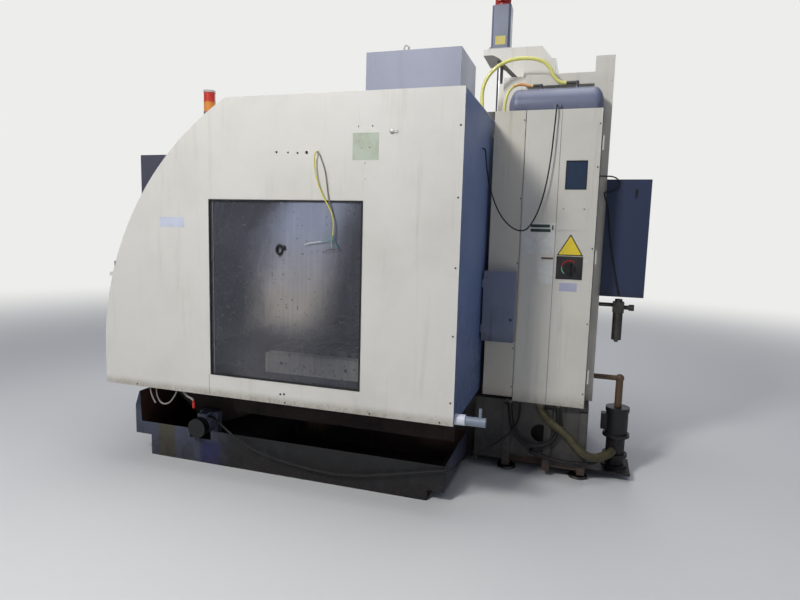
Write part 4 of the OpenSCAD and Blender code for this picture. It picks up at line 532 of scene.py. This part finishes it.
def corrugated_tube(name, line, radius, pitch, depth, sides=20):
    """A ribbed hose: rings along the line that swell and shrink once in each pitch."""
    side = Vector((1, 0, 0))
    spots, total = [], length_of(line)
    count = int(total / pitch * 4)
    walked, index = 0.0, 0
    for n in range(count + 1):
        want = total * n / count
        while index < len(line) - 2 and walked + (line[index + 1] - line[index]).length < want:
            walked += (line[index + 1] - line[index]).length
            index += 1
        step = line[index + 1] - line[index]
        place = line[index] + step * min(1.0, (want - walked) / step.length)
        spots.append((place, step.normalized()))
    verts, faces = [], []
    for n, (place, way) in enumerate(spots):
        side = (side - way * side.dot(way)).normalized()
        up = way.cross(side)
        ends = n < 8 or n > count - 8
        r = radius - (0.0 if ends else depth * (0.5 - 0.5 * math.cos(n * math.pi / 2)))
        for k in range(sides):
            a = 2 * math.pi * k / sides
            verts.append(place + r * (side * math.cos(a) + up * math.sin(a)))
    for n in range(count):
        for k in range(sides):
            a, b = n * sides + k, n * sides + (k + 1) % sides
            faces.append((a, b, b + sides, a + sides))
    faces.append(tuple(reversed(range(sides))))
    faces.append(tuple(range(count * sides, (count + 1) * sides)))
    mesh = bpy.data.meshes.new(name)
    mesh.from_pydata([tuple(v) for v in verts], [], faces)
    for face in mesh.polygons:
        face.use_smooth = True
    piece = bpy.data.objects.new(name, mesh)
    bpy.context.collection.objects.link(piece)
    return piece


def cut_away(piece, cutter):
    """Cuts one piece's shape out of another and removes the cutter."""
    pick(piece)
    cut = piece.modifiers.new("cut", "BOOLEAN")
    cut.object = cutter
    cut.operation = "DIFFERENCE"
    bpy.ops.object.modifier_apply(modifier=cut.name)
    bpy.data.objects.remove(cutter, do_unlink=True)


def close_edit():
    """Turns every face of the piece in edit mode outwards and leaves edit mode."""
    bpy.ops.mesh.select_all(action="SELECT")
    bpy.ops.mesh.normals_make_consistent(inside=False)
    bpy.ops.object.mode_set(mode="OBJECT")


def rounded_block(name, low, high, bevel, segments=2):
    """A block between two corners in millimetres, with its edges rounded in edit mode."""
    low, high = Vector(low) / 1000, Vector(high) / 1000
    deselect()
    bpy.ops.mesh.primitive_cube_add(size=1, location=(low + high) / 2)
    piece = bpy.context.active_object
    piece.name = name
    piece.scale = high - low
    bake_place(piece)
    if bevel:
        bpy.ops.object.mode_set(mode="EDIT")
        bpy.ops.mesh.select_all(action="SELECT")
        bpy.ops.mesh.bevel(offset=bevel / 1000, segments=segments, affect="EDGES")
        bpy.ops.object.mode_set(mode="OBJECT")
    return piece


def turned_button(name, centre, axis, radius, height, bevel, vertices=24):
    """A short round part standing on a face: centre is on the face, axis points out of it."""
    axis = Vector(axis).normalized()
    centre = Vector(centre) / 1000
    deselect()
    turn = axis.to_track_quat("Z", "Y").to_euler()
    bpy.ops.mesh.primitive_cylinder_add(vertices=vertices, radius=radius / 1000, depth=height / 1000,
            location=centre + axis * height / 2000, rotation=turn)
    piece = bpy.context.active_object
    piece.name = name
    bake_place(piece)
    tip = centre + axis * height / 1000
    bpy.ops.object.mode_set(mode="EDIT")
    bpy.ops.mesh.select_all(action="DESELECT")
    bpy.ops.mesh.select_mode(type="EDGE")
    bpy.ops.object.mode_set(mode="OBJECT")
    mesh = piece.data
    for edge in mesh.edges:
        ends = [(mesh.vertices[v].co - tip).dot(axis) for v in edge.vertices]
        edge.select = all(abs(e) < 1e-5 for e in ends)
    bpy.ops.object.mode_set(mode="EDIT")
    bpy.ops.mesh.bevel(offset=bevel / 1000, segments=3, affect="EDGES")
    bpy.ops.object.mode_set(mode="OBJECT")
    pick(piece)
    bpy.ops.object.shade_smooth_by_angle(angle=math.radians(40))
    return piece


def slotted(piece, centre, axis, across, radius, depth):
    """Cuts a screwdriver slot across a screw's head."""
    axis, across = Vector(axis).normalized(), Vector(across).normalized()
    centre = Vector(centre) / 1000
    deselect()
    third = axis.cross(across)
    bpy.ops.mesh.primitive_cube_add(size=1, location=centre)
    cutter = bpy.context.active_object
    cutter.matrix_world = (Matrix.Translation(centre) @ Matrix((across, third,
            axis)).transposed().to_4x4() @ Matrix.Diagonal((radius * 2.4 / 1000, radius * 0.28 / 1000,
            depth * 2 / 1000, 1)))
    bake_place(cutter)
    cut_away(piece, cutter)


def joined(pieces, name):
    """Joins like small parts into one piece."""
    deselect()
    for piece in pieces:
        piece.select_set(True)
    bpy.context.view_layer.objects.active = pieces[0]
    if len(pieces) > 1:
        bpy.ops.object.join()
    pieces[0].name = name
    return pieces[0]


def screws(name, places, axis, across, radius=4.0, height=2.6):
    """A row of slotted pan-head screws: one is modelled, and the rest are copies of its mesh."""
    first = turned_button(name, places[0], axis, radius, height, radius * 0.3, 16)
    tip = Vector(places[0]) + Vector(axis).normalized() * height
    slotted(first, tip, axis, across, radius, height * 0.4)
    rest = []
    for place in places[1:]:
        copy = first.copy()
        copy.data = first.data.copy()
        copy.location = (Vector(place) - Vector(places[0])) / 1000
        bpy.context.collection.objects.link(copy)
        bake_place(copy)
        rest.append(copy)
    return joined([first] + rest, name)


def frame_strip(name, low, high, width, x0, x1):
    """A flat ring in the plane of X, such as a window's rubber: outer box low to high (Y, Z)."""
    deselect()
    low, high = Vector((x0, *low)) / 1000, Vector((x0, *high)) / 1000
    bpy.ops.mesh.primitive_plane_add(size=1, location=(low + high) / 2,
            rotation=(0, math.radians(90), 0))
    piece = bpy.context.active_object
    piece.name = name
    piece.scale = (high.z - low.z, high.y - low.y, 1)
    bake_place(piece)
    bpy.ops.object.mode_set(mode="EDIT")
    bpy.ops.mesh.select_all(action="SELECT")
    bpy.ops.mesh.inset(thickness=width / 1000)
    bpy.ops.mesh.delete(type="FACE")
    bpy.ops.mesh.select_all(action="SELECT")
    bpy.ops.mesh.extrude_region_move(TRANSFORM_OT_translate={"value": ((x1 - x0) / 1000, 0, 0)})
    close_edit()
    return piece


def flat_arc(name, centre, inner, outer, start, stop, thick):
    """A printed arc in the plane of X: a strip of quads spun round the centre, angles in degrees."""
    deselect()
    bpy.ops.mesh.primitive_plane_add(size=1)
    piece = bpy.context.active_object
    piece.name = name
    centre = Vector(centre) / 1000
    mesh = piece.data
    a = math.radians(start)
    low, high = (centre + r / 1000 * Vector((0, math.cos(a), math.sin(a))) for r in (inner, outer))
    up = Vector((thick / 1000, 0, 0))
    for vertex, place in zip(mesh.vertices, (low, high, low + up, high + up)):
        vertex.co = place
    bpy.ops.object.mode_set(mode="EDIT")
    bpy.ops.mesh.select_all(action="SELECT")
    bpy.ops.mesh.spin(steps=24, angle=math.radians(start - stop), center=centre, axis=(1, 0, 0))
    close_edit()
    end = Vector((0, math.cos(math.radians(stop)), math.sin(math.radians(stop))))
    if (mesh.vertices[-1].co - centre).angle(end) > 0.3:
        raise RuntimeError(name + " was spun the wrong way")
    return piece


class CableSizes(bpy.types.PropertyGroup):
    """Diameters of the cables and hoses."""
    panel_cable: bpy.props.FloatProperty(name="Panel cable", description="Loose yellow cable",
            default=0.007, unit="LENGTH")
    loop_cable: bpy.props.FloatProperty(name="Loop cable", description="Cable hanging at the cabinet",
            default=0.008, unit="LENGTH")
    base_cable: bpy.props.FloatProperty(name="Base cable", description="Cable along the base",
            default=0.012, unit="LENGTH")
    u_hose: bpy.props.FloatProperty(name="U hose", description="Hose that loops under the cabinet",
            default=0.026, unit="LENGTH")
    coolant_hose: bpy.props.FloatProperty(name="Coolant hose", description="Ribbed coolant hose",
            default=0.052, unit="LENGTH")
    big_hose: bpy.props.FloatProperty(name="Large air hose", description="Yellow hose to the tank",
            default=0.022, unit="LENGTH")
    small_hose: bpy.props.FloatProperty(name="Small air hose", description="Thin hose to the tank",
            default=0.016, unit="LENGTH")
    wire: bpy.props.FloatProperty(name="Wire", description="Bare wires at the cable's end",
            default=0.0032, unit="LENGTH")
    strand: bpy.props.FloatProperty(name="Strand", description="Grey strand beside the cable",
            default=0.0055, unit="LENGTH")
    drip_hose: bpy.props.FloatProperty(name="Drip hose", description="Pale tube under the front",
            default=0.009, unit="LENGTH")


class DetailSizes(bpy.types.PropertyGroup):
    """Sizes of the small parts, in millimetres."""
    screw: bpy.props.FloatProperty(name="Screw head radius", description="Pan heads on the panels",
            default=5.0, min=2.0, max=9.0)
    label: bpy.props.FloatProperty(name="Label thickness", description="Films and plates", default=0.6,
            min=0.2, max=2.0)


class MACHINE_OT_finishes(bpy.types.Operator):
    """Makes every finish and gives each CAD node the one for its slot"""
    bl_idname = "machine.finishes"
    bl_label = "Finishes"

    def execute(self, context):
        FINISH.update(make_finishes())
        special = {
            "coolant_pump": "pump_enamel",
            "electrical_cabinet": "gland_sheet",
            "terminal_box": "terminal_box_paint",
            "terminal_box_cover": "terminal_box_paint",
            "door_glass": "door_pane",
            "table": "table_iron",
            "eye_bolt": "bright_steel"}
        for part in frame["record"]["subparts"]:
            node = frame["nodes"][part["node"]]
            finish = FINISH[special.get(part["node"], part["material_slot"])]
            if not node.material_slots:
                node.data.materials.append(finish)
            for slot in node.material_slots:
                slot.material = finish
        return {"FINISHED"}


class MACHINE_OT_camera(bpy.types.Operator):
    """Places the camera at the photograph's angle"""
    bl_idname = "machine.camera"
    bl_label = "Camera"

    def execute(self, context):
        yaw, pitch, roll = (math.radians(a) for a in CAMERA_TURN)
        up = Vector((0, 0, 1))
        ahead = Vector((-math.cos(yaw), -math.sin(yaw), 0)) * math.cos(pitch) - up * math.sin(pitch)
        right = ahead.cross(up).normalized()
        down = ahead.cross(right)
        across = math.cos(roll) * right + math.sin(roll) * down
        below = -math.sin(roll) * right + math.cos(roll) * down
        turn = Matrix((across, -below, -ahead)).transposed().to_4x4()
        data = bpy.data.cameras.new("photo_camera")
        data.sensor_width = 36.0
        data.lens = CAMERA_LENS
        data.clip_end = 200
        camera = bpy.data.objects.new("photo_camera", data)
        camera.matrix_world = Matrix.Translation(CAMERA_PLACE) @ turn
        context.collection.objects.link(camera)
        context.scene.camera = camera
        return {"FINISHED"}


class MACHINE_OT_cables(bpy.types.Operator):
    """Lays the cables and hoses along their routes"""
    bl_idname = "machine.cables"
    bl_label = "Cables and hoses"

    def execute(self, context):
        size = context.scene.machine_cables
        plan = [
            ("panel_cable", PANEL_CABLE, size.panel_cable, "bare", "medium", "hanging", "yellow_cable"),
            ("loop_cable", LOOP_CABLE, size.loop_cable, "object", "medium", "hanging", "black_rubber"),
            ("base_cable", BASE_CABLE, size.base_cable, "object", "medium", "hanging", "black_rubber"),
            ("u_hose", U_HOSE, size.u_hose, "object", "stiff", "hanging", "black_rubber"),
            ("tank_hose_large", BIG_HOSE, size.big_hose, "object", "stiff", "loose", "yellow_hose"),
            ("tank_hose_small", SMALL_HOSE, size.small_hose, "object", "stiff", "loose", "yellow_hose")]
        for node, route, diameter, far_end, stiffness, lay, slot in plan:
            line = smooth(route, 5)
            piece = run_curve(node + "_run", line, diameter)
            dress(piece, slot, "machine")
            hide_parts(node)
        sleeve = run_curve("orange_sleeve", smooth(SMALL_HOSE[-6:-1], 5), size.small_hose + 0.0012)
        dress(sleeve, "orange_hose", "machine")
        line = smooth(COOLANT_HOSE, 8)
        hose = corrugated_tube("coolant_hose_ribbed", line, size.coolant_hose / 2, 0.011, 0.004)
        dress(hose, "khaki_hose", "machine")
        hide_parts("coolant_hose")
        loose = [(name, route, size.wire, name + "_skin", "bare") for name, route in SPLAYED_WIRES]
        loose += [
            ("grey_wire", GREY_STRAND, size.strand, "grey_wire_skin", "bare"),
            ("rear_cable", REAR_CABLE, size.loop_cable, "black_rubber", "object"),
            ("drip_hose", DRIP_HOSE, size.drip_hose, "oily_tube", "object"),
            ("drip_end", DRIP_END, size.drip_hose, "oily_tube", "bare"),
            ("tap_hose", TAP_HOSE, size.drip_hose * 1.6, "oily_tube", "bare")]
        for name, route, diameter, finish, far_end in loose:
            line = smooth(route, 5)
            piece = run_curve(name, line, diameter, 4)
            dress(piece, finish, "machine")
        return {"FINISHED"}


class MACHINE_OT_cabinet_details(bpy.types.Operator):
    """Adds the plates, labels, screws and the lock on the electrical cabinet"""
    bl_idname = "machine.cabinet_details"
    bl_label = "Cabinet details"

    def execute(self, context):
        t = context.scene.machine_details.label
        face = CABINET_FACE

        def film(name, y0, y1, z0, z1, finish, body, x=face, slot="cabinet_paint", thick=t):
            piece = rounded_block(name, (x, y0, z0), (x + thick, y1, z1), 0.15, 1)
            return dress(piece, finish, body)

        film("data_plate", 992, 1177, 1381, 1561, "label_white", "cabinet_door")
        for name, y0, y1, z0, z1 in [("data_plate_band_upper", 1035, 1145, 1534, 1552),
                ("data_plate_band_lower", 1035, 1150, 1508, 1526)]:
            film(name, y0, y1, z0, z1, "label_green", "cabinet_door", face + t)
        film("data_plate_mark", 1158, 1166, 1521, 1548, "black_plastic", "cabinet_door", face + t)
        film("notice_film", 1093, 1177, 1206, 1365, "label_white", "cabinet_door")
        film("door_crease", 1177.4, 1179.6, 478, 2198, "dark_steel", "cabinet_door")
        film("notice_film_band", 1106, 1174, 1349, 1361, "label_brown", "cabinet_door", face + t)
        film("switch_label", 1217, 1316, 1165, 1215, "label_lilac", "cabinet_door")
        film("tiny_label", 1346, 1368, 1340, 1352, "label_white", "cabinet_door")
        film("meter_window", 1216.5, 1334.5, 1754.5, 1917.5, "window_blue", "cabinet_door", face - 1.5,
                thick=0.7)
        for name, inset, x, thick, finish in [("triangle_border", 0, face, t, "black_plastic"),
                ("yellow_triangle", 6, face + t, 0.3, "label_yellow")]:
            deselect()
            bpy.ops.mesh.primitive_circle_add(vertices=3, radius=1, fill_type="NGON")
            triangle = context.active_object
            triangle.name = name
            corners = [Vector((x, 1193 + inset * 1.7, 1374.5 + inset)),
                    Vector((x, 1341 - inset * 1.7, 1374.5 + inset)),
                    Vector((x, 1266, 1500 - inset * 2))]
            for vertex, corner in zip(triangle.data.vertices, corners):
                vertex.co = corner / 1000
            bpy.ops.object.mode_set(mode="EDIT")
            bpy.ops.mesh.select_all(action="SELECT")
            bpy.ops.mesh.extrude_region_move(TRANSFORM_OT_translate={"value": (thick / 1000, 0, 0)})
            close_edit()
            dress(triangle, finish, "cabinet_door")
        frame_piece = frame_strip("meter_window_frame", (1216.3, 1754.3), (1334.7, 1917.7), 5,
                face - 0.8, face + 2.2)
        dress(frame_piece, "black_plastic", "cabinet_door")
        for name, finish, start, stop in [("switch_arc_green", "pale_green_print", 172, 232),
                ("switch_arc_red", "red_plastic", 50, 165)]:
            arc = flat_arc(name, (564.0, 1267, 1304), 40, 45, start, stop, 0.5)
            dress(arc, finish, "cabinet_door")
        lock = turned_button("terminal_lock", (630, 952, 983), (1, 0, 0), 10, 1.6, 0.5)
        slotted(lock, (631.6, 952, 983), (1, 0, 0), (0, 0, 1), 6, 1.2)
        dress(lock, "dark_steel", "terminal_box_cover")
        plate = [(562, y, 1644) for y in (1216, 1330)]
        dress(screws("blanking_plate_screws", plate, (1, 0, 0), (0, 1, 1), 3.2, 1.8), "dark_steel",
                "cabinet_door")
        holders = [(CABINET_FACE, 1388, z) for z in (560, 980, 1420, 1880, 2120)]
        dress(screws("cabinet_door_screws", holders, (1, 0, 0), (0, 1, 0), 4.5, 2.4), "dark_steel",
                "cabinet_door")
        seam = [(CABINET_FACE, 968, z) for z in (560, 800, 1320, 1700, 2150)]
        dress(screws("filler_screws", seam, (1, 0, 0), (0, 0, 1), 4.5, 2.4), "dark_steel",
                "machine")
        box = [(630, 800, z) for z in (880, 1230)]
        dress(screws("terminal_cover_screws", box, (1, 0, 0), (0, 1, 0), 4.0, 1.2), "dark_steel",
                "terminal_box_cover")
        return {"FINISHED"}


class MACHINE_OT_panel_details(bpy.types.Operator):
    """Adds the window's rubber, the screws, the stickers and the lug on the side panel"""
    bl_idname = "machine.panel_details"
    bl_label = "Side panel details"

    def execute(self, context):
        size = context.scene.machine_details
        for side, name in ((1, "right"), (-1, "left")):
            rubber = frame_strip("window_rubber_" + name, (-658, 645), (262, 1640), 9, side * 1296.9,
                    side * 1302.5)
            dress(rubber, "black_rubber", "machine")
        patch = rounded_block("faded_square", (PANEL_FACE, 200, 1842), (PANEL_FACE + 0.3, 341, 1976),
                0.1, 1)
        for y, z in [(247, 1902), (292, 1904)]:
            cut_away(patch, turned_button("cutter", (1299, y, z), (1, 0, 0), 4, 4, 0.2, 16))
        dress(patch, "faded_green", "machine")
        sticker = rounded_block("panel_sticker", (PANEL_FACE, -987, 1479),
                (PANEL_FACE + 0.5, -821, 1537), 0.15, 1)
        dress(sticker, "label_blue_white", "machine")
        lug = rounded_block("silver_lug", (PANEL_FACE, 401, 1972), (PANEL_FACE + 4, 440, 1986), 1.2, 2)
        eye = turned_button("lug_eye", (PANEL_FACE, 408, 1979), (1, 0, 0), 11, 5, 1.5)
        dress(joined([lug, eye], "silver_lug"), "bright_steel", "machine")
        deselect()
        bpy.ops.mesh.primitive_torus_add(major_segments=32, minor_segments=10, major_radius=0.021,
                minor_radius=0.007, rotation=(math.radians(-12), math.radians(90), 0),
                location=(1.3036, -0.213, 1.3756))
        ring = context.active_object
        ring.scale = (1.1, 0.75, 1.0)
        bake_place(ring)
        tail = turned_button("ring_tail", (1297, -188, 1388), (1, 0, 0), 12, 9, 3)
        dress(joined([ring, tail], "rubber_ring"), "black_rubber", "machine")
        seam = rounded_block("panel_seam", (PANEL_FACE, -670, 528),
                (PANEL_FACE + 0.3, -668, 645), 0.1, 1)
        dress(seam, "dark_steel", "machine")
        plugs = [turned_button("plug", (PANEL_FACE, y, z), (1, 0, 0), 6, 1.6, 0.5, 16)
                for y, z in ((-208, 577), (-185, 580))]
        dress(joined(plugs, "panel_plugs"), "black_rubber", "machine")
        lip = rounded_block("window_lip", (1297, -634, 652), (1298.5, -631.5, 1634), 0.3, 1)
        dress(lip, "grey_wire_skin", "machine")
        low, high = (1000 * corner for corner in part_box("table_end_covers"))
        # A pale strip along the cover's top edge: a painted glint on its bent edge
        bright = rounded_block("cover_edge_painted_glint", (high.x, low.y + 1, high.z - 8),
                (high.x + 3, high.y - 1, high.z - 0.5), 0.6, 1)
        dress(bright, "label_white", "table")
        dress(screws("cover_bolts", [(1080, -325, 695), (1080, 86, 689)], (1, 0, 0), (0, 1, 1), 10, 5),
                "black_plastic", "table")
        tap = turned_button("tap_plug", (1270, -801, 419), (0, 0, 1), 8, 44, 2, 16)
        dress(tap, "red_plastic", "machine")
        latch = rounded_block("rear_cabinet_latch", (350, 1612, 1722), (356, 1622, 1772), 2)
        dress(latch, "black_plastic", "machine")
        edge = [(PANEL_FACE, y, 532) for y in (-1180, -180, 320, 700)]
        rear_edge = [(PANEL_FACE, 752, z) for z in (640, 980, 1320, 1660, 2000)]
        dress(screws("panel_screws", edge + rear_edge, (1, 0, 0), (0, 1, 0), size.screw, 2.6),
                "dark_steel", "machine")
        roof = [(1170, y, 2180) for y in (-450, -150, 150, 450, 700)]
        roof += [(-x, y, z) for x, y, z in roof]
        dress(screws("roof_screws", roof, (0, 0, 1), (0, 1, 0), size.screw, 2.6), "dark_steel",
                "machine")
        z_label = rounded_block("motor_label", (62, 695, 2735), (62.5, 762, 2790), 0.15, 1)
        dress(z_label, "motor_label", "machine")
        return {"FINISHED"}


class MACHINE_OT_stage(bpy.types.Operator):
    """Makes the pale floor, the lamps and the world"""
    bl_idname = "machine.stage"
    bl_label = "Stage"

    def execute(self, context):
        deselect()
        bpy.ops.mesh.primitive_plane_add(size=60, location=(0, 0, 0))
        floor = context.active_object
        floor.name = "floor"
        material, tree, output = new_material("pale_floor")
        place = (add_node(tree, "TexCoord"), "Object")
        flat = add_node(tree, "BsdfDiffuse", {"Color": linear("D9D9D6")})
        glow = add_node(tree, "Emission", {"Color": linear("EDEDEB"), "Strength": 1.0})
        reach = add_node(tree, "VectorMath", {0: place}, operation="LENGTH")
        fade = add_node(tree, "MapRange", {"Value": (reach, "Value"), "From Min": 3.5,
                "From Max": 12.0}, interpolation_type="SMOOTHSTEP")
        path = add_node(tree, "LightPath")
        seen = add_node(tree, "Math", {0: (fade, "Result"), 1: (path, "Is Camera Ray")},
                operation="MULTIPLY")
        mix = add_node(tree, "MixShader", {"Fac": (seen, "Value"), 1: (flat, "BSDF"),
                2: (glow, "Emission")})
        tree.links.new(mix.outputs["Shader"], output.inputs["Surface"])
        floor.data.materials.append(material)
        world = bpy.data.worlds.new("studio")
        context.scene.world = world
        world.use_nodes = True
        tree = world.node_tree
        tree.nodes.clear()
        path = add_node(tree, "LightPath")
        rays = add_node(tree, "Math", {0: (path, "Is Camera Ray"), 1: (path, "Is Transmission Ray")},
                operation="MAXIMUM")
        soft = add_node(tree, "Background", {"Color": linear("C6D0EE"), "Strength": 0.27})
        bright = add_node(tree, "Background", {"Color": linear("EDEDEB"), "Strength": 1.0})
        mix = add_node(tree, "MixShader", {"Fac": (rays, "Value"), 1: (soft, "Background"),
                2: (bright, "Background")})
        output = add_node(tree, "OutputWorld", {"Surface": (mix, "Shader")})
        for name, place, aim, power, width in [
                ("key", (5.0, -1.2, 4.6), (0.9, 0.3, 1.3), 196, 0.9),
                ("top", (0.5, 0.3, 6.2), (0.2, 0.2, 1.0), 120, 4.0),
                ("fill", (4.5, 5.0, 2.6), (0.5, 0.8, 1.2), 8, 3.0),
                ("back", (-5.0, 1.0, 4.5), (0, 0, 1.5), 90, 3.0)]:
            data = bpy.data.lights.new(name, "AREA")
            data.energy = power
            data.size = width
            lamp = bpy.data.objects.new(name, data)
            lamp.location = place
            way = Vector(aim) - Vector(place)
            lamp.rotation_euler = way.to_track_quat("-Z", "Y").to_euler()
            context.collection.objects.link(lamp)
        context.scene.view_settings.view_transform = "Standard"
        return {"FINISHED"}


class MACHINE_PT_panel(bpy.types.Panel):
    """Shows the machine's operators and sizes in the 3D view's sidebar"""
    bl_idname = "MACHINE_PT_panel"
    bl_label = "Machining Center"
    bl_space_type = "VIEW_3D"
    bl_region_type = "UI"
    bl_category = "Machining Center"

    def draw(self, context):
        for operator in OPERATORS:
            self.layout.operator(operator.bl_idname)
        for group in (context.scene.machine_cables, context.scene.machine_details):
            for name in group.__annotations__:
                self.layout.prop(group, name)


OPERATORS = (MACHINE_OT_camera, MACHINE_OT_finishes, MACHINE_OT_cables, MACHINE_OT_cabinet_details,
        MACHINE_OT_panel_details, MACHINE_OT_stage)
CLASSES = (CableSizes, DetailSizes) + OPERATORS + (MACHINE_PT_panel,)


def register():
    for cls in CLASSES:
        bpy.utils.register_class(cls)
    bpy.types.Scene.machine_cables = bpy.props.PointerProperty(type=CableSizes)
    bpy.types.Scene.machine_details = bpy.props.PointerProperty(type=DetailSizes)


def unregister():
    del bpy.types.Scene.machine_details
    del bpy.types.Scene.machine_cables
    for cls in reversed(CLASSES):
        bpy.utils.unregister_class(cls)


def main():
    register()
    bpy.ops.machine.camera()
    bpy.ops.machine.finishes()
    bpy.ops.machine.cables()
    bpy.ops.machine.cabinet_details()
    bpy.ops.machine.panel_details()
    bpy.ops.machine.stage()


if __name__ == "__main__":
    main()
